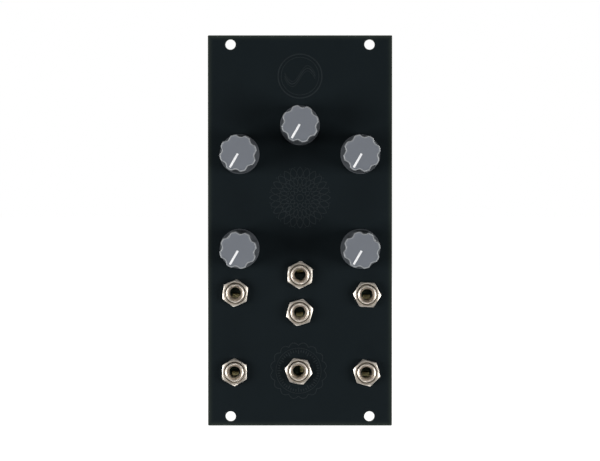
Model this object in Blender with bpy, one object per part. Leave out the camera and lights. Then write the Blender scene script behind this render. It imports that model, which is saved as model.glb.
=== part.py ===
"""A rack synthesiser module: a circuit-board front panel with five rotary controls and seven
3.5 mm jacks, all soldered to one control board behind it.

The origin is the middle of the panel's rear face, which lies on the rack's rails. +X is right seen
from the front, +Y points into the rack and +Z is up. Lengths are in metres, angles in degrees.
"""

import math

import bmesh
import bpy
from mathutils import Matrix, Vector

MM = 0.001

# Clearances, and counts of sides

seat_gap = 0.3 * MM
thread_gap = 0.2 * MM
cut_overrun = 1.0 * MM
weld_distance = 0.001 * MM
small_sides = 16
round_sides = 18
smooth_angle = 35.0
hexagon_sides = 6

hexagon_spread = 1.0 / math.cos(math.pi / hexagon_sides)

# Front panel, sized in rack units

rack_unit = 5.08 * MM
panel_units = 12
panel_play = 0.36 * MM
panel_height = 128.5 * MM
panel_thickness = 1.6 * MM
rail_hole_diameter = 3.4 * MM
rail_hole_units = 9
rail_hole_margin = 3.0 * MM
rail_hole_sides = 24

panel_width = panel_units * rack_unit - panel_play
panel_front = -panel_thickness
rail_hole_rise = panel_height - 2 * rail_hole_margin

# Places of the rotary controls on the panel. The side ones keep a margin to the panel's edges.

side_pot_margin = 10.5 * MM
top_pot_height = 34.6 * MM
upper_pot_height = 25.2 * MM
lower_pot_drop = 5.85 * MM

side_pot_offset = panel_width / 2 - side_pot_margin

pot_places = {
    "upper_left": (-side_pot_offset, upper_pot_height),
    "top": (0.0, top_pot_height),
    "upper_right": (side_pot_offset, upper_pot_height),
    "lower_left": (-side_pot_offset, -lower_pot_drop),
    "lower_right": (side_pot_offset, -lower_pot_drop),
}

# Places of the jacks on the panel. A jack can sit off its grid by a share of jack_shift.

side_jack_margin = 8.6 * MM
high_jack_drop = 14.5 * MM
side_jack_drop = 20.7 * MM
centre_jack_pitch = 12.3 * MM
bottom_jack_drop = 46.45 * MM
jack_shift = 0.5 * MM

side_jack_offset = panel_width / 2 - side_jack_margin
low_jack_drop = high_jack_drop + centre_jack_pitch

jack_places = {
    "left": (-side_jack_offset, -side_jack_drop),
    "centre_high": (0.0, -high_jack_drop),
    "centre_low": (0.0, -low_jack_drop),
    "right": (side_jack_offset, -side_jack_drop),
    "bottom_left": (-side_jack_offset, -bottom_jack_drop),
    "bottom_centre": (0.0, -bottom_jack_drop),
    "bottom_right": (side_jack_offset, -bottom_jack_drop),
}
jack_shift_shares = {
    "left": (0.84, 0.48),
    "centre_high": (0.0, 0.0),
    "centre_low": (-0.24, 0.0),
    "right": (0.68, -0.52),
    "bottom_left": (0.34, 0.0),
    "bottom_centre": (-0.96, 0.6),
    "bottom_right": (0.4, -0.44),
}
jack_turns = {"centre_high": 180.0, "bottom_centre": -90.0}
nut_turns = {
    "left": -23.4,
    "centre_high": -27.0,
    "centre_low": -16.4,
    "right": 2.9,
    "bottom_left": 29.5,
    "bottom_centre": 9.3,
    "bottom_right": 14.8,
}

# Jack

jack_depth = 9.0 * MM
jack_wall = 1.3 * MM
jack_bottom_wall = 1.675 * MM
jack_floor = 0.8 * MM
jack_corner = 0.4 * MM
barrel_diameter = 6.0 * MM
barrel_reach = 4.5 * MM
barrel_socket = 2.0 * MM
barrel_bore = 3.6 * MM
barrel_chamfer = 0.25 * MM
barrel_lip = 0.25 * MM
barrel_mouth_depth = 0.6 * MM
jack_nut_wall = 0.8 * MM
jack_nut_thickness = 2.0 * MM
jack_nut_chamfer = 0.4 * MM

barrel_mouth = barrel_diameter - 2 * (barrel_chamfer + barrel_lip)
jack_nut_bore = barrel_diameter + 2 * thread_gap
jack_nut_flats = jack_nut_bore + 2 * jack_nut_wall
jack_width = barrel_diameter + 2 * (thread_gap + jack_wall)
jack_front = seat_gap
jack_back = jack_front + jack_depth
board_front = jack_back + seat_gap
barrel_back = jack_front + barrel_socket
barrel_front = jack_front - barrel_reach

# Sprung tip contact inside a jack. It runs forward and up from its root to a nose in the bore.

leaf_width = 2.4 * MM
leaf_thickness = 0.25 * MM
leaf_root_drop = 3.9 * MM
leaf_nose_drop = 0.8 * MM
leaf_nose_room = 2.15 * MM
leaf_shares = ((0.0, 0.0), (0.28, 0.12), (0.7, 0.74), (0.86, 0.95), (1.0, 1.0), (1.14, 0.93), (1.27, 0.72))

slot_width = leaf_width + 2 * seat_gap
slot_bottom = leaf_root_drop + leaf_thickness / 2 + seat_gap
slot_front = barrel_back + seat_gap
leaf_root = jack_back - jack_floor - seat_gap - leaf_thickness
leaf_rise = leaf_root_drop - leaf_nose_drop - leaf_thickness / 2
leaf_run = leaf_root - slot_front - leaf_nose_room

# Potentiometer

shaft_diameter = 6.0 * MM
shaft_step = 0.5 * MM
shaft_flat = 1.5 * MM
shaft_ramp = 0.5 * MM
shaft_tip_chamfer = 0.4 * MM
rotor_diameter = 7.6 * MM
rotor_thickness = 1.2 * MM
bushing_wall = 0.8 * MM
bushing_reach = 3.6 * MM
bushing_chamfer = 0.3 * MM
pot_nut_wall = 0.8 * MM
pot_nut_thickness = 2.0 * MM
pot_nut_chamfer = 0.35 * MM
pot_side_wall = 0.5 * MM
pot_top_wall = 0.65 * MM
pot_bottom_wall = 2.15 * MM
pot_corner = 0.5 * MM
pot_foot_height = 1.3 * MM
pot_foot_inset = 1.5 * MM
pot_plate_thickness = 0.8 * MM
strap_thickness = 0.4 * MM
strap_width = 6.0 * MM

shaft_neck = shaft_diameter - 2 * shaft_step
bushing_bore = shaft_neck + 2 * thread_gap
bushing_diameter = bushing_bore + 2 * bushing_wall
pot_nut_bore = bushing_diameter + 2 * thread_gap
pot_nut_flats = pot_nut_bore + 2 * pot_nut_wall
pot_pocket_radius = rotor_diameter / 2 + seat_gap
pot_width = 2 * (pot_pocket_radius + pot_side_wall)
pot_top = pot_pocket_radius + pot_top_wall
pot_bottom = -pot_pocket_radius - pot_bottom_wall
plate_back = seat_gap + pot_plate_thickness
pot_front = plate_back + seat_gap
pot_foot = board_front - seat_gap
pot_back = pot_foot - pot_foot_height
bushing_front = panel_front - bushing_reach
shoulder = bushing_front - seat_gap
flat_start = shoulder - shaft_ramp
flat_full = flat_start - shaft_ramp
pot_nut_front = panel_front - seat_gap - pot_nut_thickness

# Knob. Its skirt hides the potentiometer's nut.

knob_height = 15.2 * MM
knob_lift = 0.9 * MM
knob_wall = 1.0 * MM
knob_skirt_height = 1.2 * MM
knob_flute_rise = 3.2 * MM
knob_lobe_diameter = 12.1 * MM
knob_waist_diameter = 12.4 * MM
knob_edge_width = 0.45 * MM
knob_edge_height = 0.4 * MM
knob_cap = 2.0 * MM
flute_count = 8
flute_steps = 6
flute_depth = 0.7 * MM
flute_width_share = 0.84
waist_flute_share = 0.6
pointer_width = 0.7 * MM
pointer_depth = 0.3 * MM
pointer_start = 0.2 * MM
pointer_margin = 0.3 * MM
stop_turn = 120.0

knob_face_diameter = knob_lobe_diameter - 2 * knob_edge_width
pointer_end = knob_face_diameter / 2 - pointer_margin
knob_bottom = panel_front - knob_lift
knob_top = knob_bottom - knob_height
shaft_tip = knob_top + knob_cap + seat_gap
pot_nut_corner = pot_nut_flats / 2 * hexagon_spread
recess_radius = pot_nut_corner + seat_gap
recess_floor = pot_nut_front - seat_gap
collar_radius = bushing_diameter / 2 + seat_gap
collar_floor = flat_full - seat_gap
knob_base_radius = recess_radius + knob_wall

# Control board, and what stands on its back

board_side_margin = 2.3 * MM
board_end_margin = 10.75 * MM
board_thickness = 1.6 * MM
board_corner = 1.0 * MM
board_corner_steps = 3

board_width = panel_width - 2 * board_side_margin
board_height = panel_height - 2 * board_end_margin
board_back = board_front + board_thickness
back_seat = board_back + seat_gap

pin_pitch = 2.54 * MM
pin_columns = 5
pin_rows = 2
pin_width = 0.64 * MM
pin_height = 6.0 * MM
shroud_end_room = 3.8 * MM
shroud_side_room = 1.95 * MM
shroud_wall = 1.2 * MM
shroud_floor = 2.5 * MM
shroud_depth = 6.4 * MM
key_width = 4.5 * MM
header_height = 15.0 * MM

chip_length = 8.7 * MM
chip_width = 3.9 * MM
chip_thickness = 1.5 * MM
chip_bevel = 0.35 * MM
chip_offset = 8.0 * MM
chip_drop = 3.5 * MM

can_diameter = 6.3 * MM
can_height = 5.4 * MM
can_base_margin = 0.15 * MM
can_base_thickness = 1.2 * MM
can_base_corner = 1.3 * MM
can_groove_height = 1.8 * MM
can_groove_width = 0.6 * MM
can_groove_depth = 0.3 * MM
can_edge = 0.35 * MM
can_offset = 19.0 * MM
can_sides = 20

can_base = can_diameter + 2 * can_base_margin


def finish(name, colour, roughness, metallic=0.0):
    """A plain material of one colour."""
    material = bpy.data.materials.new(name)
    material.use_nodes = True
    shader = material.node_tree.nodes["Principled BSDF"]
    shader.inputs["Base Color"].default_value = (*colour, 1.0)
    shader.inputs["Roughness"].default_value = roughness
    shader.inputs["Metallic"].default_value = metallic
    return material


def mesh_from(bm, name):
    """The bmesh as a closed mesh that faces outwards."""
    bmesh.ops.remove_doubles(bm, verts=bm.verts, dist=weld_distance)
    bmesh.ops.recalc_face_normals(bm, faces=bm.faces)
    mesh = bpy.data.meshes.new(name)
    bm.to_mesh(mesh)
    bm.free()
    return mesh


def add_block(bm, low, high):
    """Adds a box between two corners, and gives its vertices."""
    low = Vector(low)
    high = Vector(high)
    place = Matrix.LocRotScale((low + high) / 2, None, high - low)
    return bmesh.ops.create_cube(bm, size=1.0, matrix=place)["verts"]


def block(low, high, corner=0.0, corner_steps=1, along="Y"):
    """A box. The edges that run along one axis can be cut back by a corner."""
    bm = bmesh.new()
    add_block(bm, low, high)
    if corner:
        axis = "XYZ".index(along)
        edges = [
            edge for edge in bm.edges
            if abs(edge.verts[0].co[axis] - edge.verts[1].co[axis]) > weld_distance
        ]
        bmesh.ops.bevel(bm, geom=edges, offset=corner, segments=corner_steps, profile=0.5, affect="EDGES")
    return mesh_from(bm, "block")


def blocks(corner_pairs):
    """Several separate boxes in one mesh."""
    bm = bmesh.new()
    for low, high in corner_pairs:
        add_block(bm, low, high)
    return mesh_from(bm, "blocks")


def turned(profile, sides):
    """A profile of (radius, y) points turned about the Y axis. It closes on itself or on the axis."""
    bm = bmesh.new()
    rim = [bm.verts.new((radius, y, 0.0)) for radius, y in profile]
    edges = [bm.edges.new(ends) for ends in zip(rim, rim[1:])]
    if profile[0][0] and profile[-1][0]:
        edges.append(bm.edges.new((rim[-1], rim[0])))
    bmesh.ops.spin(
        bm, geom=rim + edges, cent=(0.0, 0.0, 0.0), axis=(0.0, 1.0, 0.0),
        angle=math.tau, steps=sides, use_merge=True,
    )
    return mesh_from(bm, "turned")


def rod(radius, front, back, sides):
    """A plain cylinder along Y."""
    return turned([(0.0, front), (radius, front), (radius, back), (0.0, back)], sides)


def rods(places, radius, front, back, sides):
    """Plain cylinders along Y in one mesh, one at each (x, z) place."""
    bm = bmesh.new()
    for x, z in places:
        place = Matrix.Translation((x, (front + back) / 2, z)) @ Matrix.Rotation(math.pi / 2, 4, "X")
        bmesh.ops.create_cone(
            bm, cap_ends=True, segments=sides, radius1=radius, radius2=radius,
            depth=back - front, matrix=place,
        )
    return mesh_from(bm, "rods")


def ribbon(line, width, thickness):
    """A bent strip. Its middle line is a list of (y, z) points, and its width lies along X."""
    bm = bmesh.new()
    points = [Vector(point) for point in line]
    upper = []
    lower = []
    for index, point in enumerate(points):
        way = points[min(index + 1, len(points) - 1)] - points[max(index - 1, 0)]
        side = Vector((-way.y, way.x)).normalized() * thickness / 2
        upper.append(point + side)
        lower.append(point - side)
    outline = [bm.verts.new((-width / 2, y, z)) for y, z in upper + lower[::-1]]
    face = bm.faces.new(outline)
    grown = bmesh.ops.extrude_face_region(bm, geom=[face])["geom"]
    moved = [item for item in grown if isinstance(item, bmesh.types.BMVert)]
    bmesh.ops.translate(bm, verts=moved, vec=(width, 0.0, 0.0))
    return mesh_from(bm, "ribbon")


def shaped(stock, *steps):
    """The mesh left when each (operation, tool mesh) step has worked on the stock."""
    names = ["stock"] + ["tool"] * len(steps)
    meshes = [stock] + [tool for _, tool in steps]
    helpers = [bpy.data.objects.new(name, mesh) for name, mesh in zip(names, meshes)]
    for helper in helpers:
        helper.hide_render = True
        helper.display_type = "WIRE"
        bpy.context.scene.collection.objects.link(helper)
    for (operation, _), tool in zip(steps, helpers[1:]):
        cut = helpers[0].modifiers.new(operation.lower(), "BOOLEAN")
        cut.operation = operation
        cut.solver = "EXACT"
        cut.object = tool
    bpy.context.view_layer.update()
    result = helpers[0].evaluated_get(bpy.context.evaluated_depsgraph_get())
    mesh = bpy.data.meshes.new_from_object(result)
    for helper in helpers:
        bpy.data.objects.remove(helper)
    for mesh_used in meshes:
        bpy.data.meshes.remove(mesh_used)
    return mesh


def put(name, mesh, material, parent=None, location=(0.0, 0.0, 0.0), turn=0.0):
    """Adds one piece, turned about its own Y axis."""
    piece = bpy.data.objects.new(name, mesh)
    piece.location = location
    piece.rotation_euler = (0.0, math.radians(turn), 0.0)
    piece.parent = parent
    bpy.context.scene.collection.objects.link(piece)
    if not mesh.materials:
        mesh.materials.append(material)
        mesh.shade_smooth()
        mesh.set_sharp_from_angle(angle=math.radians(smooth_angle))
    return piece


def put_centre(name, x, z, turn=0.0):
    """Adds an empty on a control's axis, in the plane of the panel's rear face."""
    centre = bpy.data.objects.new(name, None)
    centre.location = (x, 0.0, z)
    centre.rotation_euler = (0.0, math.radians(turn), 0.0)
    bpy.context.scene.collection.objects.link(centre)
    return centre


def jack_place(name):
    """The (x, z) of a jack's axis."""
    x, z = jack_places[name]
    shift_x, shift_z = jack_shift_shares[name]
    return x + shift_x * jack_shift, z + shift_z * jack_shift


def panel_mesh():
    """The front plate, drilled for the rail screws, the bushings and the jack barrels."""
    half_x = panel_width / 2
    half_z = panel_height / 2
    plate = block((-half_x, panel_front, -half_z), (half_x, 0.0, half_z))
    front = panel_front - cut_overrun
    rail_x = rail_hole_units * rack_unit / 2
    rail_z = rail_hole_rise / 2
    rail_places = [(x, z) for x in (-rail_x, rail_x) for z in (-rail_z, rail_z)]
    jack_axes = [jack_place(name) for name in jack_places]
    rail_holes = rods(rail_places, rail_hole_diameter / 2, front, cut_overrun, rail_hole_sides)
    pot_holes = rods(pot_places.values(), bushing_diameter / 2 + thread_gap, front, cut_overrun, small_sides)
    jack_holes = rods(jack_axes, barrel_diameter / 2 + thread_gap, front, cut_overrun, small_sides)
    return shaped(plate, ("DIFFERENCE", rail_holes), ("DIFFERENCE", pot_holes), ("DIFFERENCE", jack_holes))


def nut_mesh(flats, thickness, bore, chamfer):
    """A hexagon nut on the panel's front, with one corner on +X and a chamfer at each end of its bore."""
    back = panel_front - seat_gap
    front = back - thickness
    corner = flats / 2 * hexagon_spread
    body = turned([(0.0, front), (corner, front), (corner, back), (0.0, back)], hexagon_sides)
    radius = bore / 2
    flare = chamfer + cut_overrun
    hole = turned(
        [
            (0.0, front - cut_overrun),
            (radius + flare, front - cut_overrun),
            (radius, front + chamfer),
            (radius, back - chamfer),
            (radius + flare, back + cut_overrun),
            (0.0, back + cut_overrun),
        ],
        round_sides,
    )
    return shaped(body, ("DIFFERENCE", hole))


def jack_housing_mesh():
    """The plastic body: a socket for the barrel, a plug bore, and a slot under it for the tip contact."""
    half = jack_width / 2
    bottom = -slot_bottom - jack_bottom_wall
    body = block((-half, jack_front, bottom), (half, jack_back, half), jack_corner)
    floor = jack_back - jack_floor
    mouth = jack_front - cut_overrun
    socket = rod(barrel_diameter / 2 + thread_gap, mouth, barrel_back + thread_gap, round_sides)
    bore = rod(barrel_bore / 2 + thread_gap, mouth, floor, small_sides)
    slot = block((-slot_width / 2, slot_front, -slot_bottom), (slot_width / 2, floor, 0.0))
    return shaped(body, ("DIFFERENCE", socket), ("DIFFERENCE", bore), ("DIFFERENCE", slot))


def jack_barrel_mesh():
    """The threaded sleeve that the nut screws on, with a flared mouth."""
    outer = barrel_diameter / 2
    inner = barrel_bore / 2
    return turned(
        [
            (outer, barrel_back),
            (outer, barrel_front + barrel_chamfer),
            (outer - barrel_chamfer, barrel_front),
            (barrel_mouth / 2, barrel_front),
            (inner, barrel_front + barrel_mouth_depth),
            (inner, barrel_back),
        ],
        round_sides,
    )


def tip_spring_mesh():
    """The tip contact, with its root at the origin."""
    line = [(-run * leaf_run, rise * leaf_rise) for run, rise in leaf_shares]
    return ribbon(line, leaf_width, leaf_thickness)


def pot_housing_mesh():
    """The plastic body, with a pocket for the rotor and a foot that stands on the board."""
    half = pot_width / 2
    body = block((-half, pot_front, pot_bottom), (half, pot_back, pot_top), pot_corner)
    foot = block(
        (pot_foot_inset - half, pot_back - pot_foot_height, pot_bottom + pot_foot_inset),
        (half - pot_foot_inset, pot_foot, pot_top - pot_foot_inset),
    )
    pocket_back = pot_front + rotor_thickness + seat_gap
    pocket = rod(pot_pocket_radius, pot_front - cut_overrun, pocket_back, round_sides)
    return shaped(body, ("UNION", foot), ("DIFFERENCE", pocket))


def pot_bushing_mesh():
    """The threaded bushing, its front plate, and two straps down the housing's sides."""
    inner = pot_width / 2 + seat_gap
    outer = inner + strap_thickness
    plate = block((-outer, seat_gap, pot_bottom), (outer, plate_back, pot_top))
    strap_low = (pot_bottom + pot_top - strap_width) / 2
    strap_high = strap_low + strap_width
    strap_front = seat_gap + pot_plate_thickness / 2
    straps = blocks(
        [
            ((-outer, strap_front, strap_low), (-inner, pot_back, strap_high)),
            ((inner, strap_front, strap_low), (outer, pot_back, strap_high)),
        ]
    )
    radius = bushing_diameter / 2
    tube = turned(
        [
            (0.0, bushing_front),
            (radius - bushing_chamfer, bushing_front),
            (radius, bushing_front + bushing_chamfer),
            (radius, strap_front),
            (0.0, strap_front),
        ],
        round_sides,
    )
    bore = rod(bushing_bore / 2, bushing_front - cut_overrun, plate_back + cut_overrun, small_sides)
    return shaped(plate, ("UNION", straps), ("UNION", tube), ("DIFFERENCE", bore))


def pot_shaft_mesh():
    """The turning shaft: rotor, neck, and the thick end with a flat that drives the knob."""
    radius = shaft_diameter / 2
    rotor_back = pot_front + rotor_thickness
    shaft = turned(
        [
            (0.0, rotor_back),
            (rotor_diameter / 2, rotor_back),
            (rotor_diameter / 2, pot_front),
            (shaft_neck / 2, pot_front),
            (shaft_neck / 2, shoulder),
            (radius, shoulder),
            (radius, flat_start),
            (radius, flat_full),
            (radius, shaft_tip + shaft_tip_chamfer),
            (radius - shaft_tip_chamfer, shaft_tip),
            (0.0, shaft_tip),
        ],
        small_sides,
    )
    for vertex in shaft.vertices:
        if vertex.co.y < flat_full + weld_distance:
            vertex.co.x = min(vertex.co.x, radius - shaft_flat)
    return shaft


def flute(angle):
    """How deep a flute is at this angle, from 0 on a lobe to 1 in the middle of a flute."""
    pitch = math.tau / flute_count
    away = abs(angle % pitch - pitch / 2)
    share = min(away / (flute_width_share * pitch / 2), 1.0)
    return (1.0 + math.cos(math.pi * share)) / 2


def knob_mesh():
    """The knob, with its pointer groove and a lobe on +X."""
    edge = knob_top + knob_edge_height
    rings = [
        (knob_base_radius, 0.0, knob_bottom),
        (knob_base_radius, 0.0, knob_bottom - knob_skirt_height),
        (knob_waist_diameter / 2, waist_flute_share * flute_depth, knob_bottom - knob_flute_rise),
        (knob_lobe_diameter / 2, flute_depth, edge),
        (knob_face_diameter / 2, flute_depth, knob_top),
    ]
    count = flute_count * flute_steps
    angles = [math.tau * index / count for index in range(count)]
    bm = bmesh.new()
    loops = []
    for radius, depth, y in rings:
        radii = [radius - depth * flute(angle) for angle in angles]
        points = [(r * math.cos(angle), y, r * math.sin(angle)) for r, angle in zip(radii, angles)]
        loops.append([bm.verts.new(point) for point in points])
    for lower, upper in zip(loops, loops[1:]):
        for index in range(count):
            after = (index + 1) % count
            bm.faces.new((lower[index], lower[after], upper[after], upper[index]))
    bm.faces.new(loops[0])
    bm.faces.new(loops[-1])
    body = mesh_from(bm, "knob")
    mouth = knob_bottom + cut_overrun
    recess = turned(
        [
            (0.0, mouth),
            (recess_radius, mouth),
            (recess_radius, recess_floor),
            (collar_radius, recess_floor),
            (collar_radius, collar_floor),
            (0.0, collar_floor),
        ],
        round_sides,
    )
    bore = rod(shaft_diameter / 2 + thread_gap, shaft_tip - seat_gap, collar_floor + cut_overrun, small_sides)
    for vertex in bore.vertices:
        vertex.co.x = min(vertex.co.x, shaft_diameter / 2 - shaft_flat + thread_gap)
    half = pointer_width / 2
    groove = block(
        (pointer_start, knob_top - cut_overrun, -half), (pointer_end, knob_top + pointer_depth, half)
    )
    return shaped(body, ("DIFFERENCE", recess), ("DIFFERENCE", bore), ("DIFFERENCE", groove))


def board_mesh():
    """The control board behind the panel."""
    return block(
        (-board_width / 2, board_front, -board_height / 2),
        (board_width / 2, board_back, board_height / 2),
        board_corner,
        board_corner_steps,
    )


def power_header_mesh():
    """A shroud with a key slot in its lower wall, and two rows of square pins on its floor."""
    pin_x = (pin_columns - 1) * pin_pitch / 2
    pin_z = (pin_rows - 1) * pin_pitch / 2
    room_x = pin_x + shroud_end_room
    room_z = pin_z + shroud_side_room
    half_x = room_x + shroud_wall
    half_z = room_z + shroud_wall
    floor = back_seat + shroud_floor
    rim = floor + shroud_depth
    body = block((-half_x, back_seat, -half_z), (half_x, rim, half_z))
    room = block((-room_x, floor, -room_z), (room_x, rim + cut_overrun, room_z))
    key = block((-key_width / 2, floor, -half_z - cut_overrun), (key_width / 2, rim + cut_overrun, 0.0))
    half = pin_width / 2
    places = [
        (column * pin_pitch - pin_x, row * pin_pitch - pin_z)
        for column in range(pin_columns)
        for row in range(pin_rows)
    ]
    pins = blocks(
        [
            ((x - half, floor - shroud_floor / 2, z - half), (x + half, floor + pin_height, z + half))
            for x, z in places
        ]
    )
    return shaped(body, ("DIFFERENCE", room), ("DIFFERENCE", key), ("UNION", pins))


def chip_mesh():
    """A small-outline chip body with its long side along Z and its outer edges bevelled."""
    bm = bmesh.new()
    top = back_seat + chip_thickness
    add_block(bm, (-chip_width / 2, back_seat, -chip_length / 2), (chip_width / 2, top, chip_length / 2))
    outer = [edge for edge in bm.edges if min(vertex.co.y for vertex in edge.verts) > top - weld_distance]
    bmesh.ops.bevel(bm, geom=outer, offset=chip_bevel, segments=1, affect="EDGES")
    return mesh_from(bm, "chip")


def capacitor_mesh():
    """A round can with a groove near its foot, on a square base with two cut corners."""
    half = can_base / 2
    base_top = back_seat + can_base_thickness
    outline = [
        (-half, -half),
        (half, -half),
        (half, half - can_base_corner),
        (half - can_base_corner, half),
        (can_base_corner - half, half),
        (-half, half - can_base_corner),
    ]
    bm = bmesh.new()
    face = bm.faces.new([bm.verts.new((x, back_seat, z)) for x, z in outline])
    grown = bmesh.ops.extrude_face_region(bm, geom=[face])["geom"]
    moved = [item for item in grown if isinstance(item, bmesh.types.BMVert)]
    bmesh.ops.translate(bm, verts=moved, vec=(0.0, can_base_thickness, 0.0))
    base = mesh_from(bm, "base")
    radius = can_diameter / 2
    can_foot = back_seat + can_base_thickness / 2
    can_top = back_seat + can_height
    groove_low = base_top + can_groove_height - can_groove_width / 2
    groove_high = groove_low + can_groove_width
    can = turned(
        [
            (0.0, can_foot),
            (radius, can_foot),
            (radius, groove_low),
            (radius - can_groove_depth, (groove_low + groove_high) / 2),
            (radius, groove_high),
            (radius, can_top - can_edge),
            (radius - can_edge, can_top),
            (0.0, can_top),
        ],
        can_sides,
    )
    return shaped(base, ("UNION", can))


def build_controls(grey_plastic, steel, nickel, zinc, black_plastic):
    """The five rotary controls, each with its knob at the minimum stop."""
    knob = knob_mesh()
    shaft = pot_shaft_mesh()
    nut = nut_mesh(pot_nut_flats, pot_nut_thickness, pot_nut_bore, pot_nut_chamfer)
    bushing = pot_bushing_mesh()
    housing = pot_housing_mesh()
    for name, (x, z) in pot_places.items():
        centre = put_centre(f"control_{name}", x, z)
        put(f"knob_{name}", knob, grey_plastic, centre, turn=stop_turn)
        put(f"pot_shaft_{name}", shaft, steel, centre, turn=stop_turn)
        put(f"pot_nut_{name}", nut, nickel, centre)
        put(f"pot_bushing_{name}", bushing, zinc, centre)
        put(f"pot_housing_{name}", housing, black_plastic, centre)


def build_jacks(nickel, spring_metal, black_plastic):
    """The seven jacks. Each tip contact turns about its root, at the back of its slot."""
    housing = jack_housing_mesh()
    barrel = jack_barrel_mesh()
    nut = nut_mesh(jack_nut_flats, jack_nut_thickness, jack_nut_bore, jack_nut_chamfer)
    spring = tip_spring_mesh()
    for name in jack_places:
        turn = jack_turns.get(name, 0.0)
        centre = put_centre(f"jack_{name}", *jack_place(name), turn)
        put(f"jack_housing_{name}", housing, black_plastic, centre)
        put(f"jack_barrel_{name}", barrel, nickel, centre)
        put(f"jack_nut_{name}", nut, nickel, centre, turn=nut_turns[name] - turn)
        root = (0.0, leaf_root, -leaf_root_drop)
        put(f"jack_tip_spring_{name}", spring, spring_metal, centre, location=root)


def build_board(board_green, black_plastic, chip_black, can_metal):
    """The control board with its power header, two chips and two capacitors."""
    put("control_board", board_mesh(), board_green)
    put("power_header", power_header_mesh(), black_plastic, location=(0.0, 0.0, header_height))
    chip = chip_mesh()
    can = capacitor_mesh()
    for name, side in (("left", -1), ("right", 1)):
        put(f"amplifier_chip_{name}", chip, chip_black, location=(side * chip_offset, 0.0, -chip_drop))
        put(f"capacitor_{name}", can, can_metal, location=(side * can_offset, 0.0, header_height))


def main():
    for piece in list(bpy.data.objects):
        bpy.data.objects.remove(piece)
    mask_black = finish("panel_mask", (0.012, 0.015, 0.016), 0.42)
    grey_plastic = finish("knob_plastic", (0.165, 0.18, 0.205), 0.5)
    steel = finish("shaft_steel", (0.55, 0.55, 0.56), 0.3, 1.0)
    nickel = finish("nickel_plate", (0.82, 0.78, 0.72), 0.25, 1.0)
    zinc = finish("zinc_casting", (0.6, 0.61, 0.62), 0.4, 1.0)
    spring_metal = finish("spring_bronze", (0.5, 0.46, 0.36), 0.35, 1.0)
    black_plastic = finish("black_plastic", (0.014, 0.014, 0.015), 0.5)
    board_green = finish("board_mask", (0.012, 0.07, 0.032), 0.38)
    chip_black = finish("chip_resin", (0.02, 0.02, 0.022), 0.6)
    can_metal = finish("can_aluminium", (0.75, 0.76, 0.78), 0.3, 1.0)
    put("panel", panel_mesh(), mask_black)
    build_controls(grey_plastic, steel, nickel, zinc, black_plastic)
    build_jacks(nickel, spring_metal, black_plastic)
    build_board(board_green, black_plastic, chip_black, can_metal)


main()
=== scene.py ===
"""Dresses the rack synthesiser module with fine meshes and finishes, and sets it in a white studio.

The solids come from the frame, in metres: +X is right seen from the front, +Y points into the rack
and +Z is up. Each operator makes one kind of piece, and a piece takes its place from the solid that
it stands for.
"""

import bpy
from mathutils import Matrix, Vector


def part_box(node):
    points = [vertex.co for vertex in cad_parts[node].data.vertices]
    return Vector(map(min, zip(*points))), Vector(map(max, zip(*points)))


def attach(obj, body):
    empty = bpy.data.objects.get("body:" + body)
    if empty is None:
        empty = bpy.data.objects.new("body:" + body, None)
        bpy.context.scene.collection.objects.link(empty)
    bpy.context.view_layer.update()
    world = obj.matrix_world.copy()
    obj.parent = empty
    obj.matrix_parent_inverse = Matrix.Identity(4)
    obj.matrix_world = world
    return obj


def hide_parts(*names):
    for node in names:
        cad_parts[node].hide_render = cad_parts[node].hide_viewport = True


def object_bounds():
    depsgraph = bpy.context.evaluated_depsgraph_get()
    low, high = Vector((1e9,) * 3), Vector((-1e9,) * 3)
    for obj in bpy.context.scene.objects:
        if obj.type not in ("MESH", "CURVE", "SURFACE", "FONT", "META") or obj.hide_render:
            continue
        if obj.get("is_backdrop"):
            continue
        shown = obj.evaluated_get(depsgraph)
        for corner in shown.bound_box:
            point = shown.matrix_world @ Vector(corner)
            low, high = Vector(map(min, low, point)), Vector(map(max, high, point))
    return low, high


bl_info = {
    "name": "Rack Module Dressing",
    "version": (1, 0, 0),
    "blender": (4, 5, 0),
    "location": "3D View > Sidebar > Module",
    "description": "Makes the finished pieces of a rack synthesiser module, and a studio round it",
    "category": "Object",
}

import math
import random

import bmesh
import bpy
from bpy.props import FloatProperty, FloatVectorProperty, IntProperty, PointerProperty
from mathutils import Matrix, Vector

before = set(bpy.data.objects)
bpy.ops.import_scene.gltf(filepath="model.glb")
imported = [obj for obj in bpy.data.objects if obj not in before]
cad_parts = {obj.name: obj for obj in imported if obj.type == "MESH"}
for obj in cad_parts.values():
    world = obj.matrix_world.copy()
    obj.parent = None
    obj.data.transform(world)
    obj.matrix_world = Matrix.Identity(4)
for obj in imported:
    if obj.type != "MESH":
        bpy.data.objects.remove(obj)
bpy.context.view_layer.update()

MM = 0.001
MICRON = 0.001 * MM
SENSOR_WIDTH = 36.0  # in millimetres, as Blender counts it
WHITE = (1.0, 1.0, 1.0, 1.0)
GREY_DUST = (0.10, 0.10, 0.095, 1.0)
PALE_DUST = (0.22, 0.21, 0.20, 1.0)
# The margin below bounds a painted glow: a paler olive band along the panel's edges that stands for light
# wrapping round them, not a thinner mask.
EDGE_GLOW_MARGIN = 2.2 * MM  # how far the thinner mask reaches in from the panel's edges
OVER = 1.0 * MM  # how far a cutting tool stands out of what it cuts
POTS = sorted(name.removeprefix("pot_nut_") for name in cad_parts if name.startswith("pot_nut_"))
JACKS = sorted(name.removeprefix("jack_nut_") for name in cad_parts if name.startswith("jack_nut_"))
SIDES = {"left": -1, "right": 1}


def size(name, text, default):
    """A length that a user can change."""
    return FloatProperty(name=name, description=text, default=default, min=0.0, unit="LENGTH", precision=5)


def amount(name, text, default, **options):
    """A plain number or an angle that a user can change."""
    return FloatProperty(name=name, description=text, default=default, **options)


def colour(name, text, default):
    """A linear colour that a user can change."""
    return FloatVectorProperty(
        name=name, description=text, default=default, min=0.0, max=1.0, subtype="COLOR", size=3
    )


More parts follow.
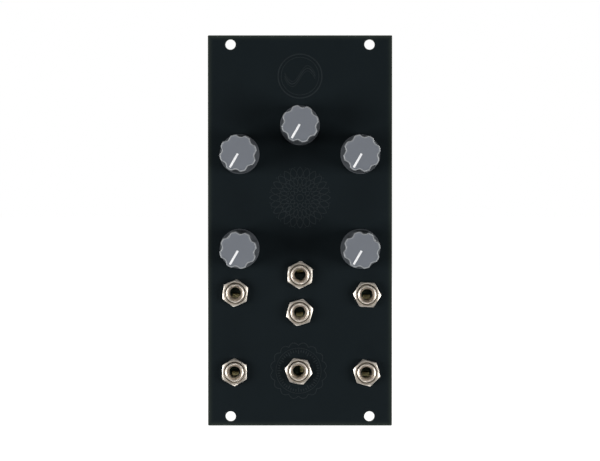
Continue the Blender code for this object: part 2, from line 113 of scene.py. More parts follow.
class StudioSettings(bpy.types.PropertyGroup):
    """The camera and the light."""

    distance: size("Camera distance", "From the panel's front to the lens", 560 * MM)
    rise: size("Camera height", "Height of the lens over the panel's middle", 14.0 * MM)
    tilt: amount("Camera tilt", "How far the camera looks down", math.radians(0.8), subtype="ANGLE")
    frame_width: size("Frame width", "What the picture spans at the panel's front", 197.45 * MM)
    drop: amount("Vertical shift", "Height of the picture over the lens axis, in widths", -0.0309)
    tent: amount("Surround", "Brightness of the studio's walls", 0.02, min=0.0)
    key: amount("Side softboxes", "Brightness of the two at the front", 8.9, min=0.0)
    fill: amount("Fill", "Brightness of the ones over, under and by the lens", 5.0, min=0.0)
    backlight: amount("Rear softboxes", "Brightness of the two behind", 6.0, min=0.0)


class PanelSizes(bpy.types.PropertyGroup):
    """The front plate and the print on it."""

    chamfer: size("Edge chamfer", "Routed edge of the plate and of its holes", 0.1 * MM)
    corner: size("Corner radius", "Corners of the plate", 0.35 * MM)
    rail_hole: size("Rail hole", "Diameter of the rail screw holes", 3.4 * MM)
    rail_pitch: size("Rail hole pitch", "Distance between the rail holes across the panel", 45.72 * MM)
    rail_margin: size("Rail hole margin", "From the panel's ends to the rail holes", 3.0 * MM)
    hole_gap: size("Hole gap", "Room round a bushing or a jack in its hole", 0.2 * MM)
    line: size("Print line", "Width of a printed line", 0.26 * MM)
    relief: size("Print relief", "How far the print stands on the mask", 0.03 * MM)
    emblem: size("Upper figure", "Radius of the ring over the top knob", 7.2 * MM)
    emblem_drop: size("Upper figure's place", "From the panel's upper end to the ring's middle", 13.4 * MM)
    rosette: size("Rosette", "Radius of the figure between the knobs", 10.2 * MM)
    rosette_height: size("Rosette's place", "Height of the rosette's middle", 10.9 * MM)
    wreath: size("Wreath", "Radius of the figure round the lowest middle jack", 9.3 * MM)


class KnobSizes(bpy.types.PropertyGroup):
    """The knobs."""

    skirt: size("Skirt height", "Height of the round foot", 1.2 * MM)
    sweep: size("Sweep height", "Height at which the flutes begin", 3.2 * MM)
    waist: size("Waist radius", "Radius at the foot of the flutes", 6.2 * MM)
    lobe: size("Lobe radius", "Radius of the lobes at the face", 6.03 * MM)
    flute: size("Flute depth", "Depth of the flutes at the face", 0.74 * MM)
    edge: size("Edge radius", "Rounding round the face", 0.42 * MM)
    dish: size("Dish", "How far the face lies under its rim", 0.05 * MM)
    pointer_width: size("Pointer width", "Width of the white line", 0.74 * MM)
    pointer_start: size("Pointer start", "From the knob's axis", 0.15 * MM)
    pointer_end: size("Pointer end", "From the knob's axis", 5.3 * MM)
    pointer_depth: size("Pointer groove", "Depth of the pointer's groove", 0.25 * MM)
    recess: size("Recess radius", "The room for the nut inside the knob", 5.5 * MM)
    recess_depth: size("Recess depth", "Depth of that room", 1.7 * MM)
    bore: size("Bore radius", "The knob's bore", 3.2 * MM)
    bore_depth: size("Bore depth", "Depth of the bore from the knob's foot", 13.2 * MM)
    turn: amount(
        "Pointer turn", "From the right, clockwise, at the lower stop", math.radians(120.0), subtype="ANGLE"
    )
    flutes: IntProperty(name="Flutes", description="Number of flutes", default=8, min=3)


class JackSizes(bpy.types.PropertyGroup):
    """The jacks."""

    bore: size("Plug bore", "Diameter of the plug's way in", 3.7 * MM)
    mouth: size("Mouth", "Diameter of the flared mouth", 5.1 * MM)
    mouth_depth: size("Mouth depth", "Depth of the flare", 1.6 * MM)
    thread_pitch: size("Thread pitch", "Pitch of the sleeve's thread", 0.5 * MM)
    thread_depth: size("Thread depth", "Depth of the sleeve's thread", 0.2 * MM)
    sleeve: size("Sleeve", "Outer diameter of the sleeve over its thread", 6.2 * MM)
    nut_bore: size("Nut bore", "Diameter of the jack nut's bore", 6.8 * MM)
    nut_chamfer: size("Nut bore chamfer", "Chamfer at the ends of a nut's bore", 0.22 * MM)
    leaf: size("Leaf thickness", "Sheet of the tip contact", 0.22 * MM)
    leaf_width: size("Leaf width", "Width of the tip contact", 2.3 * MM)


class BoardSizes(bpy.types.PropertyGroup):
    """The control board and the small pieces on its back."""

    copper: size("Copper", "Thickness of a trace with its mask", 0.035 * MM)
    trace: size("Trace width", "Width of a signal trace", 0.3 * MM)
    supply: size("Supply trace width", "Width of a supply trace", 0.9 * MM)
    legend: size("Legend line", "Width of the white outlines", 0.18 * MM)
    pad: size("Pad radius", "Radius of a pin's pad", 0.95 * MM)
    pin_reach: size("Pin reach", "How far a pin stands out of the board", 1.3 * MM)
    pin_pitch: size("Header pitch", "Distance between the header's pins", 2.54 * MM)
    pin_width: size("Header pin", "Width of a header pin", 0.64 * MM)
    leg_pitch: size("Leg pitch", "Distance between a chip's legs", 1.27 * MM)
    chip_part: FloatVectorProperty(
        name="Small part", description="Length, width and height of a small resistor",
        default=(2.0 * MM, 1.25 * MM, 0.5 * MM), unit="LENGTH", precision=5,
    )


class ModuleColours(bpy.types.PropertyGroup):
    """The finishes' main colours."""

    mask: colour("Panel mask", "Black mask on the front panel", (0.0064, 0.0104, 0.0125))
    # Painted light: this paler olive tint along the panel's edges stands for light wrapping round them from
    # behind.
    painted_edge_glow: colour("Thin mask", "Where the panel's mask thins out at the edges", (0.034, 0.043, 0.034))
    core: colour("Panel core", "Dark glass-fibre core at the panel's edges", (0.030, 0.036, 0.024))
    ink: colour("Panel print", "Tone-on-tone print", (0.0086, 0.0134, 0.0160))
    knob: colour("Knob face", "Slate grey plastic", (0.150, 0.163, 0.186))
    # Painted shade: the knob's flanks get this darker copy of the face's plastic so they look as dim as in a
    # low side light.
    flank: colour("Knob flank", "The same plastic where the mould left it matt", (0.080, 0.088, 0.098))
    # Painted highlight: the rounded rim round the face is a paler, glossier copy of the face's plastic,
    # standing for the side lights' glint on it.
    rim: colour("Knob rim", "The same plastic, rubbed pale along the face's edge", (0.285, 0.300, 0.312))
    pointer: colour("Pointer", "White filling of the groove", (0.93, 0.94, 0.96))
    nickel: colour("Nickel", "Plating of the jacks", (0.94, 0.86, 0.76))
    nut: colour("Nut nickel", "Duller plating of the nuts", (0.76, 0.70, 0.62))
    zinc: colour("Zinc", "Bushings and their plates", (0.60, 0.61, 0.62))
    steel: colour("Steel", "Potentiometer shafts", (0.55, 0.55, 0.56))
    # Partly real tarnish and partly painted shade: the contacts are darkened well below bare bronze to stand
    # for the shade deep in the jacks' bores.
    bronze: colour("Bronze", "Tip contacts, tarnished", (0.30, 0.295, 0.175))
    plastic: colour("Black plastic", "Jacks, potentiometers and the header", (0.014, 0.014, 0.015))
    insert: colour("Jack insert", "Inside of the jacks", (0.036, 0.090, 0.042))
    board: colour("Board mask", "Green mask on the control board", (0.010, 0.062, 0.028))
    trace: colour("Trace", "Green mask over copper", (0.020, 0.115, 0.048))
    board_core: colour("Board core", "Edge of the control board", (0.42, 0.36, 0.20))
    legend: colour("Legend", "White outlines on the board", (0.78, 0.78, 0.74))
    tin: colour("Tin", "Solder, terminals and legs", (0.72, 0.72, 0.71))
    gold: colour("Gold", "Header pins", (0.86, 0.62, 0.28))
    resin: colour("Chip resin", "Body of a chip", (0.020, 0.020, 0.022))
    aluminium: colour("Aluminium", "Capacitor cans", (0.76, 0.77, 0.78))
    ceramic: colour("Ceramic", "Small capacitors", (0.36, 0.24, 0.13))
    wafer: colour("Wafer", "Back plate of a potentiometer", (0.19, 0.085, 0.035))


SETTINGS = {
    "module_studio": StudioSettings,
    "module_panel": PanelSizes,
    "module_knobs": KnobSizes,
    "module_jacks": JackSizes,
    "module_board": BoardSizes,
    "module_colours": ModuleColours,
}


# Node trees


class Wiring:
    """A node tree that is built in short calls."""

    def __init__(self, tree):
        self.tree = tree

    def add(self, kind, inputs=None, output=0, **settings):
        """Adds a node, feeds it sockets or plain values, and gives one of its outputs."""
        node = self.tree.nodes.new(kind)
        for key, value in settings.items():
            setattr(node, key, value)
        for key, value in (inputs or {}).items():
            if isinstance(value, bpy.types.NodeSocket):
                self.tree.links.new(value, node.inputs[key])
            else:
                node.inputs[key].default_value = value
        return node.outputs[output]

    def sum(self, operation, first, second=0.0, clamp=False):
        """One step of arithmetic."""
        return self.add("ShaderNodeMath", {0: first, 1: second}, operation=operation, use_clamp=clamp)

    def ramp(self, value, low, high, out_low=0.0, out_high=1.0):
        """Maps a range on another, clamped and eased at both ends."""
        spans = {"Value": value, "From Min": low, "From Max": high, "To Min": out_low, "To Max": out_high}
        return self.add("ShaderNodeMapRange", spans, interpolation_type="SMOOTHSTEP")

    def blend(self, share, first, second):
        """A mix of two colours."""
        return self.add("ShaderNodeMix", {0: share, 6: first, 7: second}, output=2, data_type="RGBA")

    def place(self):
        """The point on the piece, in its own frame."""
        return self.add("ShaderNodeTexCoord", output="Object")

    def along(self, axis):
        """How far the point lies along one of the piece's axes."""
        return self.add("ShaderNodeSeparateXYZ", {0: self.place()}, output=axis)

    def noise(self, scale, detail=3.0, roughness=0.55, point=None):
        """Plain noise, from 0 to 1."""
        feed = {"Vector": point or self.place(), "Scale": scale, "Detail": detail, "Roughness": roughness}
        return self.add("ShaderNodeTexNoise", feed)


def effect(name, inputs, outputs, build):
    """A node group with named inputs and outputs, made once."""
    tree = bpy.data.node_groups.get(name)
    if tree is None:
        tree = bpy.data.node_groups.new(name, "ShaderNodeTree")
        for label, default in inputs.items():
            socket = tree.interface.new_socket(label, in_out="INPUT", socket_type="NodeSocketFloat")
            socket.default_value = default
        for label in outputs:
            tree.interface.new_socket(label, in_out="OUTPUT", socket_type="NodeSocketFloat")
        wiring = Wiring(tree)
        feed = tree.nodes.new("NodeGroupInput").outputs
        results = build(wiring, feed)
        sink = tree.nodes.new("NodeGroupOutput")
        for label in outputs:
            tree.links.new(results[label], sink.inputs[label])
    return tree


def surface_grain(wiring, feed):
    """Fine specks over broad clouds."""
    fine = wiring.noise(feed["Fine Scale"], 2.0)
    broad = wiring.noise(feed["Broad Scale"], 4.0)
    share = wiring.sum("MULTIPLY", wiring.sum("SUBTRACT", broad, fine), feed["Broad Share"])
    return {"Value": wiring.sum("ADD", fine, share), "Clouds": broad}


def edge_wear(wiring, feed):
    """Where a convex edge has been rubbed, broken up by noise."""
    soft = wiring.add("ShaderNodeBevel", {"Radius": feed["Radius"]}, samples=4)
    flat = wiring.add("ShaderNodeNewGeometry", output="Normal")
    same = wiring.add("ShaderNodeVectorMath", {0: soft, 1: flat}, output="Value", operation="DOT_PRODUCT")
    turned = wiring.ramp(wiring.sum("SUBTRACT", 1.0, same), 0.004, 0.06)
    worn = wiring.ramp(wiring.noise(feed["Breakup Scale"], 4.0), 0.38, 0.66, 0.25, 1.0)
    return {"Mask": wiring.sum("MULTIPLY", turned, worn)}


def dust_specks(wiring, feed):
    """Fine dust that lies on what faces up, and a few specks on the rest."""
    normal = wiring.add("ShaderNodeNewGeometry", output="Normal")
    up = wiring.add("ShaderNodeSeparateXYZ", {0: normal}, output="Z")
    lying = wiring.ramp(up, 0.2, 1.0, 0.12, 1.0)
    specks = wiring.ramp(wiring.noise(feed["Scale"], 6.0, 0.75), 0.60, 0.76)
    return {"Mask": wiring.sum("MULTIPLY", wiring.sum("MULTIPLY", lying, specks), feed["Amount"], clamp=True)}


def turning_marks(wiring, feed):
    """Fine rings round the piece's Y axis, as a lathe leaves them."""
    point = wiring.place()
    x, y, z = (wiring.add("ShaderNodeSeparateXYZ", {0: point}, output=axis) for axis in "XYZ")
    out = wiring.sum("SQRT", wiring.sum("ADD", wiring.sum("POWER", x, 2.0), wiring.sum("POWER", z, 2.0)))
    along = wiring.sum("ADD", out, y)
    wobble = wiring.sum("MULTIPLY", wiring.noise(900.0, 2.0), feed["Pitch"])
    phase = wiring.sum("DIVIDE", wiring.sum("ADD", along, wobble), feed["Pitch"])
    wave = wiring.sum("SINE", wiring.sum("MULTIPLY", phase, math.tau))
    return {"Height": wiring.ramp(wave, -1.0, 1.0)}


def mould_skin(wiring, feed):
    """The fine pitted skin of an eroded mould."""
    fine = wiring.noise(feed["Scale"], 5.0, 0.7)
    cells = wiring.add("ShaderNodeTexVoronoi", {"Vector": wiring.place(), "Scale": feed["Scale"]})
    return {"Height": wiring.sum("ADD", wiring.sum("MULTIPLY", cells, 0.5), fine)}


def scratch_lines(wiring, feed):
    """Short fine scratches in two directions."""
    masks = []
    for turn in (0.5, 2.1):
        spun = wiring.add("ShaderNodeMapping", {
            "Vector": wiring.place(), "Rotation": (0.0, turn, turn / 2), "Scale": (1.0, 1.0, 0.035),
        })
        masks.append(wiring.ramp(wiring.noise(feed["Scale"], 1.0, 0.5, spun), 0.655, 0.70))
    return {"Mask": wiring.sum("MULTIPLY", wiring.sum("MAXIMUM", *masks), feed["Amount"])}


def glass_cloth(wiring, feed):
    """Woven threads in the XZ plane, and their layers seen at a cut edge."""
    point = wiring.place()
    waves = {}
    for axis in "XYZ":
        line = wiring.add("ShaderNodeSeparateXYZ", {0: point}, output=axis)
        pitch = feed["Layer Pitch"] if axis == "Y" else feed["Thread Pitch"]
        turn = wiring.sum("MULTIPLY", wiring.sum("DIVIDE", line, pitch), math.tau)
        waves[axis] = wiring.ramp(wiring.sum("SINE", turn), -1.0, 1.0)
    return {"Weave": wiring.sum("MULTIPLY", waves["X"], waves["Z"]), "Layers": waves["Y"]}


# The shared effects: inputs with their values, outputs, and the function that builds each
EFFECTS = {
    "Surface grain": (
        {"Fine Scale": 4000.0, "Broad Scale": 90.0, "Broad Share": 0.5}, ("Value", "Clouds"), surface_grain,
    ),
    "Edge wear": ({"Radius": 0.15 * MM, "Breakup Scale": 700.0}, ("Mask",), edge_wear),
    "Dust": ({"Scale": 900.0, "Amount": 0.5}, ("Mask",), dust_specks),
    "Turning marks": ({"Pitch": 0.08 * MM}, ("Height",), turning_marks),
    "Mould skin": ({"Scale": 5000.0}, ("Height",), mould_skin),
    "Scratches": ({"Scale": 700.0, "Amount": 0.5}, ("Mask",), scratch_lines),
    "Glass cloth": ({"Thread Pitch": 0.6 * MM, "Layer Pitch": 0.2 * MM}, ("Weave", "Layers"), glass_cloth),
}


def use(wiring, name, output=0, **inputs):
    """Places a shared effect in a tree, and gives one of its outputs."""
    values, labels, build = EFFECTS[name]
    tree = effect(name, values, labels, build)
    feed = {key.replace("_", " ").title(): value for key, value in inputs.items()}
    return wiring.add("ShaderNodeGroup", feed, output=output, node_tree=tree)


def shade(tint, factor):
    """A colour made lighter or darker, ready for a socket."""
    return (*(min(channel * factor, 1.0) for channel in tint), 1.0)


# Finishes. Each makes its material once and gives it again afterwards.


def finish(name, draw, **fixed):
    """A material. draw feeds its changing sockets, and fixed values are set on the shader itself."""
    material = bpy.data.materials.get(name)
    if material is None:
        material = bpy.data.materials.new(name)
        material.use_nodes = True
        wiring = Wiring(material.node_tree)
        shader = material.node_tree.nodes["Principled BSDF"]
        for key, value in fixed.items():
            shader.inputs[key.replace("_", " ")].default_value = value
        for key, value in draw(wiring).items():
            if isinstance(value, bpy.types.NodeSocket):
                material.node_tree.links.new(value, shader.inputs[key])
            else:
                shader.inputs[key].default_value = value
        material.diffuse_color = shader.inputs["Base Color"].default_value
    return material


def bump(wiring, height, depth, strength=1.0):
    """A normal from a height."""
    return wiring.add("ShaderNodeBump", {"Height": height, "Distance": depth, "Strength": strength})


def colours():
    """The user's colours."""
    return bpy.context.scene.module_colours


def mask_finish(name, tint, thread=0.04, roughness=0.56, specular=0.07, thin=None):
    """Solder mask: nearly flat, with an orange peel, a hint of the glass cloth, and dust.

    thin gives a plate's half width, its half height, and the tint of the painted glow along its edges, light
    that wraps round them from behind.
    """

    def draw(wiring):
        clouds = use(wiring, "Surface grain", "Clouds", broad_scale=60.0)
        grain = use(wiring, "Surface grain", "Value", fine_scale=5200.0, broad_share=0.35)
        weave = use(wiring, "Glass cloth", "Weave", thread_pitch=0.55 * MM)
        dust = use(wiring, "Dust", "Mask", scale=2300.0, amount=0.30)
        scratches = use(wiring, "Scratches", "Mask", scale=520.0, amount=0.35)
        base = wiring.blend(clouds, shade(tint, 0.86), shade(tint, 1.14))
        # Painted light: blends the paler edge tint in, strongest at the plate's edges, for light wrapping
        # round them.
        if thin:
            half_x, half_z, under = thin
            to_side = wiring.sum("SUBTRACT", half_x, wiring.sum("ABSOLUTE", wiring.along("X")))
            to_end = wiring.sum("SUBTRACT", half_z, wiring.sum("ABSOLUTE", wiring.along("Z")))
            margin = wiring.sum("MINIMUM", to_side, to_end)
            near = wiring.sum("SUBTRACT", 1.0, wiring.sum("DIVIDE", margin, EDGE_GLOW_MARGIN), clamp=True)
            patchy = wiring.ramp(clouds, 0.3, 0.7, 0.75, 1.0)
            share = wiring.sum("MULTIPLY", wiring.sum("POWER", near, 2.6), patchy)
            base = wiring.blend(share, base, shade(under, 1.0))
        base = wiring.blend(wiring.sum("MULTIPLY", dust, 0.5), base, GREY_DUST)
        rough = wiring.ramp(grain, 0.3, 0.7, roughness - 0.05, roughness + 0.06)
        rough = wiring.sum("SUBTRACT", rough, wiring.sum("MULTIPLY", scratches, 0.10))
        height = wiring.sum("ADD", grain, wiring.sum("MULTIPLY", weave, thread))
        return {"Base Color": base, "Roughness": rough, "Normal": bump(wiring, height, 0.006 * MM, 0.5)}

    return finish(name, draw, Specular_IOR_Level=specular)


def core_finish(name, tint):
    """A routed edge of glass-fibre board, with its layers and loose fibre ends."""

    def draw(wiring):
        layers = use(wiring, "Glass cloth", "Layers", layer_pitch=0.2 * MM)
        fibres = use(wiring, "Surface grain", "Value", fine_scale=7000.0, broad_share=0.4)
        share = wiring.ramp(wiring.sum("ADD", layers, fibres), 0.5, 1.4)
        base = wiring.blend(share, shade(tint, 0.65), shade(tint, 1.35))
        height = wiring.sum("ADD", fibres, wiring.sum("MULTIPLY", layers, 0.5))
        return {"Base Color": base, "Roughness": 0.72, "Normal": bump(wiring, height, 0.02 * MM)}

    return finish(name, draw)


def ink_finish(name, tint, roughness=0.6):
    """Screen-printed ink, a little thin in places."""

    def draw(wiring):
        grain = use(wiring, "Surface grain", "Value", fine_scale=6000.0, broad_scale=400.0, broad_share=0.5)
        base = wiring.blend(wiring.ramp(grain, 0.35, 0.65), shade(tint, 0.8), shade(tint, 1.12))
        rough = wiring.ramp(grain, 0.3, 0.7, roughness - 0.08, roughness + 0.08)
        return {"Base Color": base, "Roughness": rough, "Normal": bump(wiring, grain, 0.008 * MM)}

    return finish(name, draw, Specular_IOR_Level=0.25)


def plastic_finish(name, tint, roughness, skin, worn=1.5, specular=0.4):
    """Moulded plastic with an eroded skin, lighter rubbed edges, dust and small scratches."""

    def draw(wiring):
        pits = use(wiring, "Mould skin", "Height", scale=skin)
        clouds = use(wiring, "Surface grain", "Clouds", broad_scale=160.0)
        wear = use(wiring, "Edge wear", "Mask", radius=0.12 * MM, breakup_scale=900.0)
        dust = use(wiring, "Dust", "Mask", scale=2600.0, amount=0.35)
        scratches = use(wiring, "Scratches", "Mask", scale=900.0, amount=0.6)
        base = wiring.blend(clouds, shade(tint, 0.94), shade(tint, 1.06))
        base = wiring.blend(wiring.sum("MULTIPLY", wear, 0.5), base, shade(tint, worn))
        base = wiring.blend(wiring.sum("MULTIPLY", dust, 0.4), base, PALE_DUST)
        rough = wiring.ramp(pits, 0.2, 1.1, roughness - 0.06, roughness + 0.07)
        rubbed = wiring.sum("MULTIPLY", wiring.sum("ADD", wear, scratches), 0.07)
        rough = wiring.sum("SUBTRACT", rough, rubbed)
        return {"Base Color": base, "Roughness": rough, "Normal": bump(wiring, pits, 0.006 * MM, 0.6)}

    return finish(name, draw, Specular_IOR_Level=specular)


def metal_finish(name, tint, roughness, marks=0.08 * MM, depth=0.004 * MM):
    """Plated or bare metal with turning marks, scratches, and a thin uneven tarnish."""

    def draw(wiring):
        rings = use(wiring, "Turning marks", "Height", pitch=marks)
        scratches = use(wiring, "Scratches", "Mask", scale=800.0, amount=0.8)
        clouds = use(wiring, "Surface grain", "Clouds", broad_scale=420.0)
        grain = use(wiring, "Surface grain", "Value", fine_scale=9000.0, broad_share=0.3)
        tarnish = wiring.ramp(clouds, 0.42, 0.72)
        base = wiring.blend(tarnish, shade(tint, 1.0), shade(tint, 0.8))
        rough = wiring.ramp(grain, 0.3, 0.7, roughness - 0.05, roughness + 0.05)
        rough = wiring.sum("ADD", rough, wiring.sum("MULTIPLY", tarnish, 0.08))
        height = wiring.sum("SUBTRACT", wiring.sum("ADD", rings, grain), scratches)
        return {"Base Color": base, "Roughness": rough, "Normal": bump(wiring, height, depth, 0.6)}

    return finish(name, draw, Metallic=1.0)


def mask_black():
    thin = (*half_size("panel"), colours().painted_edge_glow)
    return mask_finish("panel black mask", colours().mask, thin=thin)


def panel_core():
    return core_finish("panel core", colours().core)


def panel_ink():
    return ink_finish("panel tone print", colours().ink, roughness=0.5)


def knob_grey():
    return plastic_finish(
        "knob slate plastic", colours().knob, roughness=0.47, skin=4200.0, worn=1.35, specular=0.5
    )


# Painted shade on the knob's flanks: a darker, rougher copy of the face's plastic.
def knob_flank_shade():
    return plastic_finish("knob matt flank", colours().flank, roughness=0.62, skin=3600.0, specular=0.3)


# Painted highlight on the knob's rounded rim: a paler, glossier copy of the face's plastic.
def knob_rim_highlight():
    return plastic_finish(
        "knob rubbed rim", colours().rim, roughness=0.32, skin=5200.0, worn=1.2, specular=0.5
    )


def pointer_white():
    return ink_finish("pointer white filling", colours().pointer, roughness=0.5)


def nickel():
    return metal_finish("nickel plate", colours().nickel, roughness=0.40)


def nut_nickel():
    return metal_finish("dull nickel plate", colours().nut, roughness=0.40)


def zinc():
    return metal_finish("zinc plate", colours().zinc, roughness=0.42, marks=0.05 * MM)


def shaft_steel():
    return metal_finish("bright steel", colours().steel, roughness=0.3)


# Tarnished bronze, also darkened as painted shade for the inside of the jacks' bores.
def tarnished_shaded_bronze():
    return metal_finish("spring bronze", colours().bronze, roughness=0.42, marks=0.2 * MM)


def black_plastic():
    return plastic_finish("black moulded plastic", colours().plastic, roughness=0.48, skin=3600.0, worn=2.2)


def green_plastic():
    return plastic_finish("green moulded insert", colours().insert, roughness=0.4, skin=3600.0)


def board_green():
    return mask_finish("board green mask", colours().board, thread=0.12, roughness=0.34, specular=0.5)


def board_core():
    return core_finish("board core", colours().board_core)


def trace_green():
    return mask_finish("copper under green mask", colours().trace, thread=0.12, roughness=0.3, specular=0.5)


def legend_white():
    return ink_finish("white legend", colours().legend)


def tin():
    return metal_finish("tin and solder", colours().tin, roughness=0.28, marks=0.3 * MM, depth=0.006 * MM)


def gold():
    return metal_finish("gold flash", colours().gold, roughness=0.25, marks=0.3 * MM)


def chip_resin():
    return plastic_finish("chip resin", colours().resin, roughness=0.6, skin=6500.0, worn=1.6)


def can_aluminium():
    return metal_finish("drawn aluminium", colours().aluminium, roughness=0.3, marks=0.12 * MM)


def ceramic():
    return plastic_finish("capacitor ceramic", colours().ceramic, roughness=0.5, skin=7000.0, worn=1.1)


def wafer_brown():
    return plastic_finish("phenolic wafer", colours().wafer, roughness=0.5, skin=2500.0, worn=1.2)


# Shapes


def eased(points, radius, steps=3, closed=True):
    """An outline of 2D points with each corner turned into a small arc."""
    found = []
    count = len(points)
    for index, point in enumerate(points):
        here = Vector(point)
        if not closed and index in (0, count - 1):
            found.append(here)
            continue
        before = Vector(points[index - 1]) - here
        after = Vector(points[(index + 1) % count]) - here
        start = here + before.normalized() * min(radius, before.length * 0.45)
        end = here + after.normalized() * min(radius, after.length * 0.45)
        for step in range(steps + 1):
            share = step / steps
            found.append(start.lerp(here, share).lerp(here.lerp(end, share), share))
    return found


def box_outline(half_x, half_z, corner, steps=3):
    """The points of a rectangle with round corners, as (x, z)."""
    corners = [(half_x, half_z), (-half_x, half_z), (-half_x, -half_z), (half_x, -half_z)]
    return eased(corners, corner, steps)


def around(count):
    """Even steps of an angle round a circle."""
    return [math.tau * index / count for index in range(count)]


def ring(radius, y, steps):
    """Points of a circle round the Y axis."""
    return [(radius * math.cos(angle), y, radius * math.sin(angle)) for angle in around(steps)]


def loop_points(radius_at, count, middle=(0.0, 0.0)):
    """The (x, z) points of a closed curve round a middle, from its radius at each angle."""
    return [
        (middle[0] + radius_at(angle) * math.cos(angle), middle[1] + radius_at(angle) * math.sin(angle))
        for angle in around(count)
    ]


def circle(radius, count, middle):
    """The (x, z) points of a circle."""
    return loop_points(lambda angle: radius, count, middle)


def raised(outline, y, middle=(0.0, 0.0)):
    """The (x, z) points of an outline, set round a middle and at a depth."""
    return [(middle[0] + x, y, middle[1] + z) for x, z in outline]


def aside(x, z):
    """A move across the panel."""
    return Matrix.Translation((x, 0.0, z))


def add_quads(bm, loops):
    """Joins each loop of vertices to the next one."""
    faces = []
    for lower, upper in zip(loops, loops[1:]):
        count = len(lower)
        for index in range(count):
            after = (index + 1) % count
            faces.append(bm.faces.new((lower[index], lower[after], upper[after], upper[index])))
    return faces


def add_loft(bm, rings, closed=False, capped=True, slot=0, place=None):
    """Joins rings of points. A closed loft ends where it starts, and a capped one has both ends."""
    place = place or Matrix.Identity(4)
    loops = [[bm.verts.new(place @ Vector(point)) for point in points] for points in rings]
    faces = add_quads(bm, loops + loops[:1] if closed else loops)
    if capped and not closed:
        faces.append(bm.faces.new(loops[0][::-1]))
        faces.append(bm.faces.new(loops[-1]))
    for face in faces:
        face.material_index = slot
    return faces


def add_turned(bm, profile, steps, slot=0, place=None):
    """A profile of (radius, y) points turned about the Y axis, round a bore or from cap to cap."""
    rings = [ring(radius, y, steps) for radius, y in profile if radius]
    closed = all(radius for radius, _ in profile)
    return add_loft(bm, rings, closed=closed, slot=slot, place=place)


def add_box(bm, low, high, ease=0.0, segments=2, slot=0, place=None):
    """A box between two corners, with its edges rounded."""
    low = Vector(low)
    high = Vector(high)
    matrix = (place or Matrix.Identity(4)) @ Matrix.LocRotScale((low + high) / 2, None, high - low)
    made = bmesh.ops.create_cube(bm, size=1.0, matrix=matrix)["verts"]
    faces = list({face for vertex in made for face in vertex.link_faces})
    if ease:
        edges = list({edge for vertex in made for edge in vertex.link_edges})
        rounded = bmesh.ops.bevel(bm, geom=edges, offset=ease, segments=segments, profile=0.6, affect="EDGES")
        faces = [face for face in faces if face.is_valid] + rounded["faces"]
    for face in faces:
        face.material_index = slot
    return faces


def add_side_box(bm, side, reach, low, high, ease=0.0, **options):
    """A box on one side of the middle: its reach in x, and the (y, z) of its two corners."""
    left, right = sorted(side * x for x in reach)
    add_box(bm, (left, *low), (right, *high), ease, **options)


def add_slab(bm, outline, shrunk, front, back, ease, slot=0, place=None):
    """An outline of (x, z) points drawn along Y, with its shrunk copy at both ends for the rims."""
    levels = ((shrunk, front), (outline, front + ease), (outline, back - ease), (shrunk, back))
    return add_loft(bm, [raised(points, y) for points, y in levels], slot=slot, place=place)


def add_plate(bm, half, corner, steps, front, back, ease, inset=None, trim=0.1 * MM, slot=0, place=None):
    """A slab with round corners. Its ends are drawn in by the inset, and their corners by the trim."""
    inset = ease if inset is None else inset
    outline = box_outline(*half, corner, steps)
    shrunk = box_outline(half[0] - inset, half[1] - inset, corner - trim, steps)
    return add_slab(bm, outline, shrunk, front, back, ease, slot, place)


def add_line(bm, points, width, front, back, closed=False):
    """A flat printed line or trace along (x, z) points, between two depths."""
    line = [Vector(point) for point in points]
    count = len(line)
    rings = []
    for index, here in enumerate(line):
        before = line[index - 1] if index or closed else here
        after = line[(index + 1) % count] if index < count - 1 or closed else here
        way_in = (here - before).normalized()
        way_out = (after - here).normalized()
        way = (way_in + way_out).normalized()
        side = Vector((-way.y, way.x))
        straight = max(abs(way.dot(way_in or way_out)), 0.5)
        left = here + side * (width / 2 / straight)
        right = here - side * (width / 2 / straight)
        corners = ((left, front), (right, front), (right, back), (left, back))
        rings.append([(point.x, y, point.y) for point, y in corners])
    return add_loft(bm, rings, closed=closed)


def add_band(bm, line, width, thickness, place=None):
    """A bent strip. Its middle line is a list of (y, z) points and its width lies along X."""
    points = [Vector(point) for point in line]
    rings = []
    for index, point in enumerate(points):
        way = points[min(index + 1, len(points) - 1)] - points[max(index - 1, 0)]
        side = Vector((-way.y, way.x)).normalized() * thickness / 2
        corners = ((-1, point + side), (1, point + side), (1, point - side), (-1, point - side))
        rings.append([(end * width / 2, spot.x, spot.y) for end, spot in corners])
    return add_loft(bm, rings, place=place)


def thread_rings(radius, depth, pitch, front, back, steps):
    """Rings of a helical thread between two depths. It fades in and out over one turn."""
    rows = round((back - front) / pitch * 6)
    rings = []
    for row in range(rows + 1):
        y = front + (back - front) * row / rows
        fade = min(1.0, (y - front) / pitch, (back - y) / pitch)

        def radius_at(angle):
            return radius - depth * fade * abs(2 * ((y / pitch + angle / math.tau) % 1.0) - 1)

        rings.append(raised(loop_points(radius_at, steps), y))
    return rings


def smooth_mesh(bm, name, *materials, angle=32.0):
    """The bmesh as a mesh that faces outwards, smooth but for its sharp edges."""
    bmesh.ops.recalc_face_normals(bm, faces=bm.faces)
    mesh = bpy.data.meshes.new(name)
    bm.to_mesh(mesh)
    bm.free()
    for material in materials:
        mesh.materials.append(material)
    mesh.shade_smooth()
    mesh.set_sharp_from_angle(angle=math.radians(angle))
    return mesh


